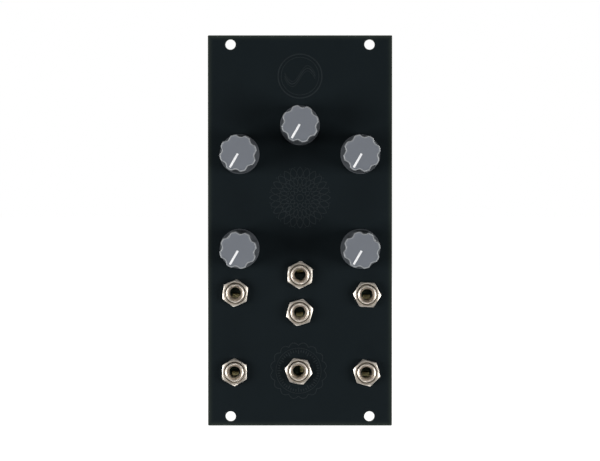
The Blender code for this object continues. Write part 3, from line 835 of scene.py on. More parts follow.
def carved(bm, cuts, name, *materials, angle=32.0):
    """The bmesh as a mesh, with each of the cutting bmeshes taken out of it. A cut keeps its own slot."""
    meshes = [smooth_mesh(bm, name, *materials, angle=angle)]
    meshes += [smooth_mesh(cut, "cut", *materials) for cut in cuts]
    helpers = [bpy.data.objects.new("carving", mesh) for mesh in meshes]
    for helper in helpers:
        bpy.context.scene.collection.objects.link(helper)
    for helper in helpers[1:]:
        step = helpers[0].modifiers.new("cut", "BOOLEAN")
        step.solver = "EXACT"
        step.operation = "DIFFERENCE"
        step.object = helper
    bpy.context.view_layer.update()
    result = helpers[0].evaluated_get(bpy.context.evaluated_depsgraph_get())
    mesh = bpy.data.meshes.new_from_object(result)
    mesh.name = name
    mesh.shade_smooth()
    mesh.set_sharp_from_angle(angle=math.radians(angle))
    for helper in helpers:
        bpy.data.objects.remove(helper)
    for used in meshes:
        bpy.data.meshes.remove(used)
    return mesh


def add_piece(name, mesh, body, stands_for=(), place=None):
    """Adds a mesh as a piece that rides on a body and may stand for solids of the frame."""
    piece = bpy.data.objects.new(name, mesh)
    piece.matrix_world = place or Matrix.Identity(4)
    bpy.context.scene.collection.objects.link(piece)
    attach(piece, body)
    if stands_for:
        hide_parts(*stands_for)
    return piece


# Places, read from the frame


def axis_of(node):
    """The (x, z) of the middle of a solid's box."""
    low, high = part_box(node)
    return (low.x + high.x) / 2, (low.z + high.z) / 2


def half_size(node):
    """Half the width and half the height of a solid's box."""
    low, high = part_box(node)
    return (high.x - low.x) / 2, (high.z - low.z) / 2


def seat(node, turn=0.0):
    """A frame on a solid's axis, in the plane of the panel's rear face, turned about Y."""
    return aside(*axis_of(node)) @ Matrix.Rotation(turn, 4, "Y")


def corner_turn(node):
    """How far a nut is turned, from its furthest corner."""
    x, z = axis_of(node)
    away = [(vertex.co.x - x, vertex.co.z - z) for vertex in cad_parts[node].data.vertices]
    corner = max(away, key=lambda point: math.hypot(*point))
    return -math.atan2(corner[1], corner[0])


def jack_turn(name):
    """How far a jack is turned: its housing hangs to one side of its axis."""
    x, z = axis_of(f"jack_barrel_{name}")
    housing_x, housing_z = axis_of(f"jack_housing_{name}")
    return math.atan2(round(x - housing_x, 6), round(z - housing_z, 6))


def panel_front():
    """The depth of the panel's front face."""
    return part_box("panel")[0].y


def board_back():
    """The depth of the control board's rear face."""
    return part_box("control_board")[1].y


def front_radius(node, middle):
    """How far the part of a solid that stands before the panel reaches from its axis."""
    front = panel_front()
    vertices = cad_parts[node].data.vertices
    return max(math.hypot(v.co.x - middle[0], v.co.z - middle[1]) for v in vertices if v.co.y < front)


class ModuleOperator:
    """What all operators share: each makes its pieces from the scene's settings."""

    bl_options = {"REGISTER", "UNDO"}

    def execute(self, context):
        self.make(context.scene)
        return {"FINISHED"}


# The lights: place, width and height in metres, the setting that feeds each, and its share of that
SOFTBOXES = {
    "key_left": ((-0.60, -0.45, -0.07), 0.50, 0.32, "key", 1.0),
    "key_right": ((0.60, -0.45, -0.07), 0.50, 0.32, "key", 1.0),
    "fill_below": ((0.0, -0.22, -0.60), 0.40, 0.12, "fill", 1.2),
    "fill_above": ((0.0, -0.22, 0.60), 0.40, 0.10, "fill", 0.9),
    "fill_lens": ((0.0, -0.68, 0.06), 0.10, 0.10, "fill", 0.5),
    "rear_left": ((-0.5, 0.5, 0.3), 0.4, 0.4, "backlight", 1.0),
    "rear_right": ((0.5, 0.5, 0.3), 0.4, 0.4, "backlight", 1.0),
}


class MODULE_OT_stage(ModuleOperator, bpy.types.Operator):
    """Sets up the floor, the camera and the light"""

    bl_idname = "module.stage"
    bl_label = "Studio"

    def make(self, scene):
        studio = scene.module_studio
        scene.view_settings.view_transform = "Standard"
        self.add_camera(scene, studio)
        self.add_floor()
        self.add_surround(scene, studio)
        for name, (spot, width, height, setting, share) in SOFTBOXES.items():
            self.add_softbox(scene, name, Vector(spot), width, height, getattr(studio, setting) * share)

    def add_camera(self, scene, studio):
        """The camera looks along +Y and a little down, and its picture is shifted down."""
        data = bpy.data.cameras.new("camera")
        data.sensor_width = SENSOR_WIDTH
        data.lens = data.sensor_width * studio.distance / studio.frame_width
        data.shift_y = studio.drop
        camera = bpy.data.objects.new("camera", data)
        camera.location = (0.0, panel_front() - studio.distance, studio.rise)
        camera.rotation_euler = (math.pi / 2 - studio.tilt, 0.0, 0.0)
        scene.collection.objects.link(camera)
        scene.camera = camera

    def add_floor(self):
        """A plain white floor under the module. It glows, and the lamps under it shine through."""
        level = aside(0.0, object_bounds()[0].z)
        half_width = 4.0
        bm = bmesh.new()
        bmesh.ops.create_grid(bm, x_segments=2, y_segments=2, size=half_width, matrix=level)

        def draw(wiring):
            away = wiring.add("ShaderNodeVectorMath", {0: wiring.place()}, output="Value", operation="LENGTH")
            glow = wiring.ramp(away, 0.1, 0.6, 0.93, 1.0)
            return {
                "Base Color": (0.30, 0.30, 0.30, 1.0), "Roughness": 0.9,
                "Emission Color": WHITE, "Emission Strength": glow,
            }

        floor = bpy.data.objects.new("floor", smooth_mesh(bm, "floor", finish("studio floor", draw)))
        floor.visible_glossy = False
        floor.visible_diffuse = False
        floor.visible_shadow = False
        bpy.context.scene.collection.objects.link(floor)
        floor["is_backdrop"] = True

    def add_surround(self, scene, studio):
        """White for the camera, and an even soft light for everything else."""
        world = bpy.data.worlds.new("studio")
        world.use_nodes = True
        scene.world = world
        wiring = Wiring(world.node_tree)
        background = world.node_tree.nodes["Background"]
        seen = wiring.add("ShaderNodeLightPath", output="Is Camera Ray")
        tent = (studio.tent, studio.tent, studio.tent * 1.02, 1.0)
        wiring.tree.links.new(wiring.blend(seen, tent, WHITE), background.inputs["Color"])

    def add_softbox(self, scene, name, spot, width, height, brightness):
        """A rectangular light that faces the module and that the camera doesn't see."""
        target = Vector((0.0, panel_front(), 0.0))
        data = bpy.data.lights.new(name, "AREA")
        data.shape = "RECTANGLE"
        data.size = width
        data.size_y = height
        data.energy = brightness * math.pi * width * height
        softbox = bpy.data.objects.new(name, data)
        softbox.location = spot
        softbox.rotation_euler = (target - spot).to_track_quat("-Z", "Y").to_euler()
        softbox.visible_camera = False
        scene.collection.objects.link(softbox)


class MODULE_OT_panel(ModuleOperator, bpy.types.Operator):
    """Makes the front panel with its holes and routed edges"""

    bl_idname = "module.panel"
    bl_label = "Front panel"

    def make(self, scene):
        sizes = scene.module_panel
        low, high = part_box("panel")
        ease = sizes.chamfer
        bm = bmesh.new()
        for wall, rim in self.outlines(sizes, ease):
            levels = ((rim, low.y), (wall, low.y + ease), (wall, high.y - ease), (rim, high.y))
            add_loft(bm, [raised(points, y) for points, y in levels], capped=False, slot=1)
        bm.edges.ensure_lookup_table()
        for y in (low.y, high.y):
            self.fill_face(bm, y, ease / 4)
        mesh = smooth_mesh(bm, "front_plate", mask_black(), panel_core())
        add_piece("front_plate", mesh, "module", ["panel"])

    def holes(self, sizes):
        """Each hole's middle and radius: four for the rail's screws, one round each control and jack."""
        half_pitch = sizes.rail_pitch / 2
        away = half_size("panel")[1] - sizes.rail_margin
        found = [((x, z), sizes.rail_hole / 2) for x in (-half_pitch, half_pitch) for z in (-away, away)]
        kinds = (("pot_bushing_", "pot_nut_", POTS), ("jack_barrel_", "jack_barrel_", JACKS))
        for kind, axis, names in kinds:
            for name in names:
                middle = axis_of(axis + name)
                found.append((middle, front_radius(kind + name, middle) + sizes.hole_gap))
        return found

    def outlines(self, sizes, ease):
        """The outlines of the plate and of its holes, each with its chamfered rim."""
        half_x, half_z = half_size("panel")
        found = [(
            box_outline(half_x, half_z, sizes.corner),
            box_outline(half_x - ease, half_z - ease, sizes.corner - ease),
        )]
        for middle, radius in self.holes(sizes):
            found.append([circle(reach, 64, middle) for reach in (radius, radius + ease)])
        return found

    def fill_face(self, bm, y, slack):
        """Fills one face of the plate between the rims that lie at its depth."""
        rims = [
            edge for edge in bm.edges
            if edge.is_boundary and all(abs(vertex.co.y - y) < slack for vertex in edge.verts)
        ]
        made = bmesh.ops.triangle_fill(bm, edges=rims, use_beauty=True, normal=(0.0, -1.0, 0.0))
        for item in made["geom"]:
            if isinstance(item, bmesh.types.BMFace):
                item.material_index = 0


class MODULE_OT_print(ModuleOperator, bpy.types.Operator):
    """Prints three plain figures on the panel, tone on tone"""

    bl_idname = "module.print"
    bl_label = "Panel print"

    def make(self, scene):
        sizes = scene.module_panel
        bm = bmesh.new()
        self.wave_in_ring(bm, sizes)
        self.rosette(bm, sizes)
        self.wreath(bm, sizes)
        add_piece("front_print", smooth_mesh(bm, "front_print", panel_ink()), "module")

    def levels(self, sizes, layer):
        """Top and foot of a printed line. Lines that cross lie in layers, a micron over each other."""
        front = panel_front()
        return front - sizes.relief - layer * MICRON, front + sizes.relief

    def line(self, bm, sizes, points, closed=True, width=1.0, layer=0):
        """A printed line. Its width is a share of the setting's."""
        top, foot = self.levels(sizes, layer)
        add_line(bm, points, sizes.line * width, top, foot, closed)

    def dots(self, bm, sizes, radius, middle, count, dot, layer):
        """A circle of round dots."""
        for x, z in circle(radius, count, middle):
            add_loft(bm, [ring(dot, y, 12) for y in self.levels(sizes, layer)], place=aside(x, z))

    def wave_in_ring(self, bm, sizes):
        """A double ring with a wave of three lines across it."""
        middle = (0.0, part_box("panel")[1].z - sizes.emblem_drop)
        for share, width in ((1.0, 1.6), (0.86, 0.8)):
            self.line(bm, sizes, circle(sizes.emblem * share, 96, middle), width=width)
        steps, reach, swing = 60, 0.7, 0.36
        for lift, width in ((-0.12, 0.7), (0.0, 1.3), (0.12, 0.7)):
            wave = []
            for step in range(steps + 1):
                share = 2 * step / steps - 1
                rise = math.sin(math.pi * share) * swing + lift
                wave.append((middle[0] + reach * share * sizes.emblem, middle[1] + rise * sizes.emblem))
            self.line(bm, sizes, wave, closed=False, width=width)

    def rosette(self, bm, sizes):
        """Interlaced waves round a middle, with rings of dots."""
        middle = (0.0, sizes.rosette_height)
        whole = sizes.rosette
        layer = 0
        for mean, swing, petals in ((0.80, 0.17, 12), (0.52, 0.13, 12), (0.27, 0.08, 6)):
            for turn in (0.0, math.pi):
                def radius_at(angle):
                    return whole * (mean + swing * math.cos(petals * angle + turn))

                self.line(bm, sizes, loop_points(radius_at, 240, middle), width=0.9, layer=layer)
                layer += 1
        self.line(bm, sizes, circle(whole * 0.66, 96, middle), width=0.7, layer=layer)
        self.line(bm, sizes, circle(whole * 0.11, 40, middle), width=0.9)
        self.dots(bm, sizes, whole * 0.98, middle, 36, sizes.line * 0.7, layer + 1)
        self.dots(bm, sizes, whole * 0.39, middle, 18, sizes.line * 0.6, layer + 2)

    def wreath(self, bm, sizes):
        """Scallops and short strokes round the lowest middle jack."""
        middle = axis_of("jack_nut_bottom_centre")
        whole = sizes.wreath
        scallops = loop_points(lambda angle: whole * (0.90 + 0.10 * abs(math.sin(8 * angle))), 320, middle)
        self.line(bm, sizes, scallops)
        self.line(bm, sizes, circle(whole * 0.80, 96, middle), width=0.8)
        outer, short, long = (circle(whole * share, 48, middle) for share in (0.75, 0.66, 0.60))
        for index, end in enumerate(outer):
            start = short[index] if index % 4 else long[index]
            self.line(bm, sizes, [start, end], closed=False, width=0.9)


FLUTE_STEPS = 20  # points along a knob's skin from one flute to the next
WAIST_FLUTE = 0.62  # the flutes' depth where they begin, as a share of their depth at the face
SKIRT_EASE = 0.15 * MM


def flute_share(angle, count):
    """How deep a flute is at this angle: 0 on a lobe, 1 in its middle, a hollow with soft shoulders."""
    pitch = math.tau / count
    half_width, softness = 0.30 * pitch, 0.02
    hollow = 1.0 - (abs(angle % pitch - pitch / 2) / half_width) ** 2
    return (hollow + math.sqrt(hollow ** 2 + softness)) / 2


def fluted(sizes, radius, depth, y):
    """Points of a circle with the knob's flutes cut into it."""
    count = sizes.flutes
    outline = loop_points(lambda angle: radius - depth * flute_share(angle, count), count * FLUTE_STEPS)
    return raised(outline, y)


class MODULE_OT_knobs(ModuleOperator, bpy.types.Operator):
    """Makes the fluted knobs and the white fillings of their pointer grooves"""

    bl_idname = "module.knobs"
    bl_label = "Knobs"

    def make(self, scene):
        sizes = scene.module_knobs
        low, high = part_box(f"knob_{POTS[0]}")
        foot_radius = half_size(f"knob_{POTS[0]}")[0]
        mesh = self.knob_mesh(sizes, low.y, high.y, foot_radius)
        filling = self.pointer_mesh(sizes, low.y)
        for name in POTS:
            place = seat(f"pot_nut_{name}", sizes.turn)
            add_piece(f"knob_body_{name}", mesh, f"dial_{name}", [f"knob_{name}"], place)
            add_piece(f"knob_pointer_{name}", filling, f"dial_{name}", place=place)

    def skirt_rings(self, sizes, foot, base):
        """The round foot with its two edges rounded."""
        end = foot - sizes.skirt
        slight = 0.3 * SKIRT_EASE
        profile = (
            (base - SKIRT_EASE, foot), (base - slight, foot - slight), (base, foot - SKIRT_EASE),
            (base, end + SKIRT_EASE), (base - slight, end + slight),
        )
        return [ring(radius, y, sizes.flutes * FLUTE_STEPS) for radius, y in profile]

    def body_rings(self, sizes, foot, base, rim):
        """The sweep in from the skirt, and the fluted body up to the rim."""
        rings = []
        sweep_rows, body_rows = 8, 12
        start = base - SKIRT_EASE
        for row in range(sweep_rows + 1):
            share = row / sweep_rows
            radius = start + (sizes.waist - start) * (1.0 - (1.0 - share) ** 2.2)
            y = foot - sizes.skirt - (sizes.sweep - sizes.skirt) * share
            rings.append(fluted(sizes, radius, WAIST_FLUTE * sizes.flute * share ** 1.5, y))
        for row in range(1, body_rows + 1):
            share = row / body_rows
            radius = sizes.waist + (sizes.lobe - sizes.waist) * share
            depth = sizes.flute * (WAIST_FLUTE + (1 - WAIST_FLUTE) * share)
            y = foot - sizes.sweep + (rim - foot + sizes.sweep) * share
            rings.append(fluted(sizes, radius, depth, y))
        return rings

    def edge_rings(self, sizes, rim):
        """The rounding from the body to the face."""
        rings = []
        rows = 6
        for row in range(1, rows + 1):
            angle = math.pi / 2 * row / rows
            radius = sizes.lobe - sizes.edge * (1 - math.cos(angle))
            rings.append(fluted(sizes, radius, sizes.flute, rim - sizes.edge * math.sin(angle)))
        return rings

    def face_rings(self, sizes, top):
        """The step down to the dished face."""
        face = sizes.lobe - sizes.edge
        sunk = top + sizes.dish
        levels = ((0.10 * MM, 1.0, top), (0.20 * MM, 1.0, sunk), (0.60 * MM, 0.8, sunk))
        return [fluted(sizes, face - inset, sizes.flute * share, y) for inset, share, y in levels]

    def add_inside(self, bm, sizes, foot):
        """The room for the nut and the bore for the shaft, from the foot's first ring of vertices."""
        steps = sizes.flutes * FLUTE_STEPS
        recess = foot - sizes.recess_depth
        profile = (
            (sizes.recess, foot), (sizes.recess, recess),
            (sizes.bore, recess), (sizes.bore, foot - sizes.bore_depth),
        )
        inside = [ring(radius, y, steps) for radius, y in profile]
        loops = [bm.verts[:steps]] + [[bm.verts.new(point) for point in points] for points in inside]
        add_quads(bm, loops)
        bm.faces.new(loops[-1])

    def knob_mesh(self, sizes, top, foot, base):
        """One closed skin: skirt, fluted body, rounded rim, dished face, and the rooms inside."""
        steps = sizes.flutes * FLUTE_STEPS
        rim = top + sizes.edge
        flank = self.skirt_rings(sizes, foot, base) + self.body_rings(sizes, foot, base, rim)
        edge = self.edge_rings(sizes, rim)
        bm = bmesh.new()
        skin = add_loft(bm, flank + edge + self.face_rings(sizes, top), capped=False)
        rim_row = len(flank) - 1
        # Slot 1, the skirt and fluted flanks, carries the painted shade.
        for index, quad in enumerate(skin):
            row = index // steps
            # Slot 2, the rounded rim, carries the painted highlight.
            quad.material_index = 1 if row < rim_row else 2 if row < rim_row + len(edge) else 0
        bm.verts.ensure_lookup_table()
        bm.faces.new(bm.verts[-steps:])
        self.add_inside(bm, sizes, foot)
        groove = bmesh.new()
        self.add_bar(groove, sizes, top - OVER, top + sizes.dish + sizes.pointer_depth, 0.0)
        return carved(bm, [groove], "knob_body", knob_grey(), knob_flank_shade(), knob_rim_highlight(), angle=40.0)

    def add_bar(self, bm, sizes, front, back, inset):
        """A bar along +X with round ends, for the groove and its filling."""
        half = sizes.pointer_width / 2 - inset
        middle = (sizes.pointer_start + sizes.pointer_end) / 2
        reach = (sizes.pointer_end - sizes.pointer_start) / 2 - inset
        outline = box_outline(reach, half, half * 0.5, 4)
        add_loft(bm, [raised(outline, y, (middle, 0.0)) for y in (front, back)])

    def pointer_mesh(self, sizes, top):
        """The filling, a little smaller than its groove and a little under the face."""
        bm = bmesh.new()
        sunk = top + sizes.dish
        room = 0.01 * MM
        self.add_bar(bm, sizes, sunk + 2 * room, sunk + sizes.pointer_depth - room, room)
        return smooth_mesh(bm, "knob_pointer", pointer_white())


def hexagon_nut(flats, bore, chamfer, front, back, material):
    """A hexagon nut round the Y axis, with a corner on +X. Its corners are turned off at both ends."""
    steps = 6 * 16
    to_flat = flats / 2
    blunt, step, rise = 0.06 * MM, 0.05 * MM, 0.01 * MM
    to_corner = to_flat / math.cos(math.pi / 6) - blunt
    flat_circle = to_flat * 0.975
    slope = math.tan(math.radians(30.0))

    def rim(y, inward):
        points = []
        for angle in around(steps):
            radius = min(to_flat / math.cos(angle % (math.pi / 3) - math.pi / 6), to_corner)
            cut = max(radius - flat_circle, 0.0) * slope
            points.append((radius * math.cos(angle), y + inward * cut, radius * math.sin(angle)))
        return points

    radius = bore / 2
    rings = [
        ring(radius + chamfer, front, steps),
        ring(flat_circle - step, front, steps),
        ring(flat_circle, front + rise, steps),
        rim(front, 1.0),
        rim(back, -1.0),
        ring(flat_circle, back, steps),
        ring(radius + chamfer, back, steps),
        ring(radius, back - chamfer, steps),
        ring(radius, front + chamfer, steps),
    ]
    bm = bmesh.new()
    add_loft(bm, rings, closed=True)
    return smooth_mesh(bm, "nut", material, angle=24.0)


def rise_of(kind, axis_kind, name):
    """How far the middle of a solid lies over the axis that it shares with another."""
    return axis_of(f"{kind}_{name}")[1] - axis_of(f"{axis_kind}_{name}")[1]


def control_pins(name):
    """The (x, z) of a potentiometer's three terminals, and those of its two lugs, from its axis."""
    pitch, over_edge, lug_inset = 2.5 * MM, 0.6 * MM, 0.2 * MM
    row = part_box(f"pot_housing_{name}")[0].z - axis_of(f"pot_nut_{name}")[1] + over_edge
    edge = half_size(f"pot_bushing_{name}")[0] - lug_inset
    rise = rise_of("pot_housing", "pot_nut", name)
    terminals = [(column * pitch, row) for column in (-1, 0, 1)]
    return terminals, [(side * edge, rise) for side in SIDES.values()]


class MODULE_OT_controls(ModuleOperator, bpy.types.Operator):
    """Makes the potentiometers: nuts, threaded bushings with their plates, cases, terminals and shafts"""

    bl_idname = "module.controls"
    bl_label = "Potentiometers"

    def make(self, scene):
        jacks = scene.module_jacks
        name = POTS[0]
        low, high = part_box(f"pot_nut_{name}")
        radius = front_radius(f"pot_bushing_{name}", axis_of(f"pot_nut_{name}"))
        gap = 0.3 * MM
        bore = 2 * radius + gap
        nut = hexagon_nut(high.z - low.z, bore, jacks.nut_chamfer, low.y, high.y, nickel())
        bushing = self.bushing_mesh(name, radius)
        case = self.case_mesh(name)
        terminals = self.terminal_mesh(scene.module_board, name)
        for name in POTS:
            place = seat(f"pot_nut_{name}")
            node = f"pot_bushing_{name}"
            add_piece(f"control_nut_{name}", nut, "module", [f"pot_nut_{name}"], place)
            add_piece(f"control_bushing_{name}", bushing, "module", [node], place)
            add_piece(f"control_case_{name}", case, "module", [f"pot_housing_{name}"], place)
            add_piece(f"control_terminals_{name}", terminals, "module", place=place)
            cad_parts[f"pot_shaft_{name}"].material_slots[0].material = shaft_steel()

    def bushing_mesh(self, name, radius):
        """The front plate with two crimped straps, and the threaded tube."""
        node = f"pot_bushing_{name}"
        low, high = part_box(node)
        half_x, half_z = half_size(node)
        lift = aside(0.0, rise_of("pot_bushing", "pot_nut", name))
        gap, plate, corner, ease, overlap = 0.3 * MM, 0.8 * MM, 0.8 * MM, 0.15 * MM, 0.05 * MM
        sheet, strap_half, strap_ease = 0.4 * MM, 3.0 * MM, 0.1 * MM
        crimp_reach, crimp_near, crimp_far, crimp_ease = 1.3 * MM, 1.7 * MM, 2.9 * MM, 0.08 * MM
        plate_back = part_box(f"pot_housing_{name}")[0].y - gap
        plate_front = plate_back - plate
        strap = (half_x - sheet, half_x)
        crimp = (half_x - crimp_reach, half_x)
        bm = bmesh.new()
        add_plate(bm, (half_x, half_z), corner, 4, plate_front, plate_back, ease, place=lift)
        for side in SIDES.values():
            start, end = (plate_back - sheet, -strap_half), (high.y, strap_half)
            add_side_box(bm, side, strap, start, end, strap_ease, place=lift)
            for bottom, top in ((crimp_near, crimp_far), (-crimp_far, -crimp_near)):
                start, end = (high.y - sheet, bottom), (high.y, top)
                add_side_box(bm, side, crimp, start, end, crimp_ease, place=lift)
        self.add_tube(bm, radius, low.y, plate_front + overlap)
        return smooth_mesh(bm, "control_bushing", zinc())

    def add_tube(self, bm, radius, front, back):
        """The tube of the bushing, threaded from its end to just inside the panel."""
        steps = 48
        wall, chamfer, inside_panel = 0.8 * MM, 0.3 * MM, 0.4 * MM
        depth, pitch = 0.22 * MM, 0.75 * MM
        bore = radius - wall
        thread_end = panel_front() + inside_panel
        rings = [ring(bore, front, steps), ring(radius - chamfer, front, steps)]
        rings += thread_rings(radius, depth, pitch, front + chamfer, thread_end, steps)
        rings += [ring(radius, back, steps), ring(bore, back, steps)]
        add_loft(bm, rings, closed=True)

    def case_mesh(self, name):
        """The case with ribs on two sides, a brown wafer behind it, and a cover with four feet."""
        node = f"pot_housing_{name}"
        low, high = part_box(node)
        half_x, half_z = half_size(node)
        rise = rise_of("pot_housing", "pot_nut", name)
        lift = aside(0.0, rise)
        strap_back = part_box(f"pot_bushing_{name}")[1].y
        case_end, wafer, cover_end, foot_root = 1.6 * MM, 0.6 * MM, 0.45 * MM, 0.5 * MM
        seam, ease, corner, inset, cover_corner = 0.02 * MM, 0.2 * MM, 0.9 * MM, 0.5 * MM, 0.7 * MM
        rib_x, rib_z, rib_pitch, rib_start, rib_stop = 0.35 * MM, 0.12 * MM, 2.4 * MM, 0.6 * MM, 0.5 * MM
        wafer_front = strap_back - case_end
        wafer_back = wafer_front + wafer
        whole = (half_x, half_z)
        cover = (half_x - inset, half_z - inset)
        bm = bmesh.new()
        add_plate(bm, whole, corner, 5, low.y, wafer_front, ease, place=lift)
        add_plate(
            bm, whole, corner, 5, wafer_front + seam, wafer_back, ease / 2, inset=ease, slot=1, place=lift
        )
        add_plate(bm, cover, cover_corner, 5, wafer_back + seam, strap_back - cover_end, ease, place=lift)
        self.add_feet(bm, half_x, half_z, rise, strap_back - foot_root, high.y)
        start, end = (-rib_x, low.y + rib_start, -rib_z), (rib_x, wafer_front - rib_stop, rib_z)
        for side in (-1, 1):
            for rib in (-1, 0, 1):
                place = aside(rib * rib_pitch, rise + side * half_z)
                add_box(bm, start, end, rib_z / 2, place=place)
        return smooth_mesh(bm, "control_case", black_plastic(), wafer_brown())

    def add_feet(self, bm, half_x, half_z, rise, front, back):
        """Four round feet near the corners, with chamfered ends."""
        radius, chamfer, margin = 0.75 * MM, 0.1 * MM, 2.2 * MM
        profile = [
            (0.0, front), (radius, front), (radius, back - chamfer), (radius - chamfer, back), (0.0, back),
        ]
        for side_x in (-1, 1):
            for side_z in (-1, 1):
                place = aside(side_x * (half_x - margin), side_z * (half_z - margin) + rise)
                add_turned(bm, profile, 20, place=place)

    def terminal_mesh(self, board, name):
        """Three terminals from the wafer and two lugs from the straps, all through the board."""
        strap_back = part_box(f"pot_bushing_{name}")[1].y
        reach = board_back() + board.pin_reach
        terminals, lugs = control_pins(name)
        pin_root, pin_width, pin_height = 1.4 * MM, 0.8 * MM, 0.35 * MM
        lug_root, lug_width, lug_height, shorter = 0.3 * MM, 0.4 * MM, 1.9 * MM, 0.2 * MM
        bm = bmesh.new()
        for x, z in terminals:
            add_pin(bm, x, z, strap_back - pin_root, reach, pin_width, pin_height)
        for x, z in lugs:
            add_pin(bm, x, z, strap_back - lug_root, reach - shorter, lug_width, lug_height)
        return smooth_mesh(bm, "control_terminals", tin())


def add_pin(bm, x, z, front, back, width, height):
    """A flat pin along Y with a narrowed tip."""
    thin = min(width, height)
    rings = []
    for y, share in ((front, 1.0), (back - 0.8 * thin, 1.0), (back, 0.55)):
        outline = box_outline(width / 2 * share, height / 2 * share, thin * 0.12, 1)
        rings.append(raised(outline, y, (x, z)))
    add_loft(bm, rings)


# A jack's terminals in millimetres: x and z from its axis, width and height
JACK_PINS = ((0.0, 3.1, 1.4, 0.35), (0.0, -1.7, 0.9, 0.3), (0.0, -4.7, 0.9, 0.3))
NUT_FLATS = 8.0 * MM


class MODULE_OT_jacks(ModuleOperator, bpy.types.Operator):
    """Makes the jacks: cases, threaded sleeves, nuts, tip contacts and terminals"""

    bl_idname = "module.jacks"
    bl_label = "Jacks"

    def make(self, scene):
        sizes = scene.module_jacks
        name = next(name for name in JACKS if jack_turn(name) == 0.0)
        low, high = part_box(f"jack_nut_{name}")
        nut = hexagon_nut(NUT_FLATS, sizes.nut_bore, sizes.nut_chamfer, low.y, high.y, nut_nickel())
        sleeve = self.sleeve_mesh(sizes, name)
        case = self.case_mesh(sizes, name)
        leaf = self.leaf_mesh(sizes, name)
        terminals = self.terminal_mesh(scene.module_board, name)
        for name in JACKS:
            barrel, tip = f"jack_barrel_{name}", f"tip_contact_{name}"
            spring = f"jack_tip_spring_{name}"
            place = seat(barrel, jack_turn(name))
            turned = seat(barrel, corner_turn(f"jack_nut_{name}"))
            add_piece(f"socket_sleeve_{name}", sleeve, "module", [barrel], turned)
            add_piece(f"socket_nut_{name}", nut, "module", [f"jack_nut_{name}"], turned)
            add_piece(f"socket_case_{name}", case, "module", [f"jack_housing_{name}"], place)
            add_piece(f"socket_leaf_{name}", leaf, tip, [spring], place)
            add_piece(f"socket_terminals_{name}", terminals, "module", place=place)

    def sleeve_mesh(self, sizes, name):
        """The threaded sleeve with a rounded lip and a flared mouth."""
        low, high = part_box(f"jack_barrel_{name}")
        radius, bore, mouth = sizes.sleeve / 2, sizes.bore / 2, sizes.mouth / 2
        steps, lip, ease, lead, inside_panel, chamfer = 72, 0.25 * MM, 0.14 * MM, 0.3 * MM, 1.0 * MM, 0.1 * MM
        inside = eased([
            (bore, high.y), (bore, low.y + sizes.mouth_depth), (mouth, low.y),
            (radius - lip, low.y), (radius, low.y + lip),
        ], ease, 3, closed=False)
        thread_start, thread_end = low.y + lead, panel_front() + inside_panel
        rings = [ring(reach, y, steps) for reach, y in inside]
        rings += thread_rings(radius, sizes.thread_depth, sizes.thread_pitch, thread_start, thread_end, steps)
        rings += [ring(radius, high.y - chamfer, steps), ring(radius - chamfer, high.y, steps)]
        bm = bmesh.new()
        add_loft(bm, rings, closed=True)
        return smooth_mesh(bm, "socket_sleeve", nickel(), angle=50.0)

    def case_mesh(self, sizes, name):
        """The plastic body with rounded edges, side windows, the plug's way and the contact's slot."""
        node = f"jack_housing_{name}"
        low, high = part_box(node)
        lift = aside(0.0, rise_of("jack_housing", "jack_barrel", name))
        wall, corner, ease = 0.8 * MM, 0.8 * MM, 0.2 * MM
        floor = high.y - wall
        bm = bmesh.new()
        add_plate(bm, half_size(node), corner, 5, low.y, high.y, ease, place=lift)
        cuts = (self.plug_way(sizes, name, floor), self.leaf_slot(name, floor), self.windows(name))
        return carved(bm, cuts, "socket_case", black_plastic(), green_plastic())

    def plug_way(self, sizes, name, floor):
        """What the sleeve's seat and the plug's way take out of a case."""
        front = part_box(f"jack_housing_{name}")[0].y - OVER
        gap = 0.12 * MM
        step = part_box(f"jack_barrel_{name}")[1].y + gap
        wide = half_size(f"jack_barrel_{name}")[0] + gap
        narrow = sizes.bore / 2 + gap
        profile = [(0.0, front), (wide, front), (wide, step), (narrow, step), (narrow, floor), (0.0, floor)]
        bm = bmesh.new()
        add_turned(bm, profile, 48, slot=1)
        return bm

    def leaf_slot(self, name, floor):
        """What the room for the tip contact takes out of a case."""
        gap, half_width, depth = 0.3 * MM, 1.5 * MM, 4.35 * MM
        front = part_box(f"jack_barrel_{name}")[1].y + gap
        bm = bmesh.new()
        add_box(bm, (-half_width, front, -depth), (half_width, floor, 0.0), slot=1)
        return bm

    def windows(self, name):
        """What a window and a notch in each side, and a groove along the top, take out of a case."""
        low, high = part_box(f"jack_housing_{name}")
        half_x = half_size(f"jack_housing_{name}")[0]
        top = high.z - axis_of(f"jack_barrel_{name}")[1]
        window, window_depth, window_ease = 2.2 * MM, 0.5 * MM, 0.2 * MM
        window_start, window_stop, notch = 2.2 * MM, 1.6 * MM, 1.0 * MM
        groove, groove_start, groove_depth = 1.1 * MM, 1.4 * MM, 0.4 * MM
        reach = (half_x - window_depth, half_x + OVER)
        bm = bmesh.new()
        for side in SIDES.values():
            start, end = (low.y + window_start, -window), (high.y - window_stop, window)
            add_side_box(bm, side, reach, start, end, window_ease)
            add_side_box(bm, side, reach, (high.y - notch, -notch), (high.y + OVER, notch))
        start = (-groove, low.y + groove_start, top - groove_depth)
        add_box(bm, start, (groove, high.y + OVER, top + OVER))
        return bm

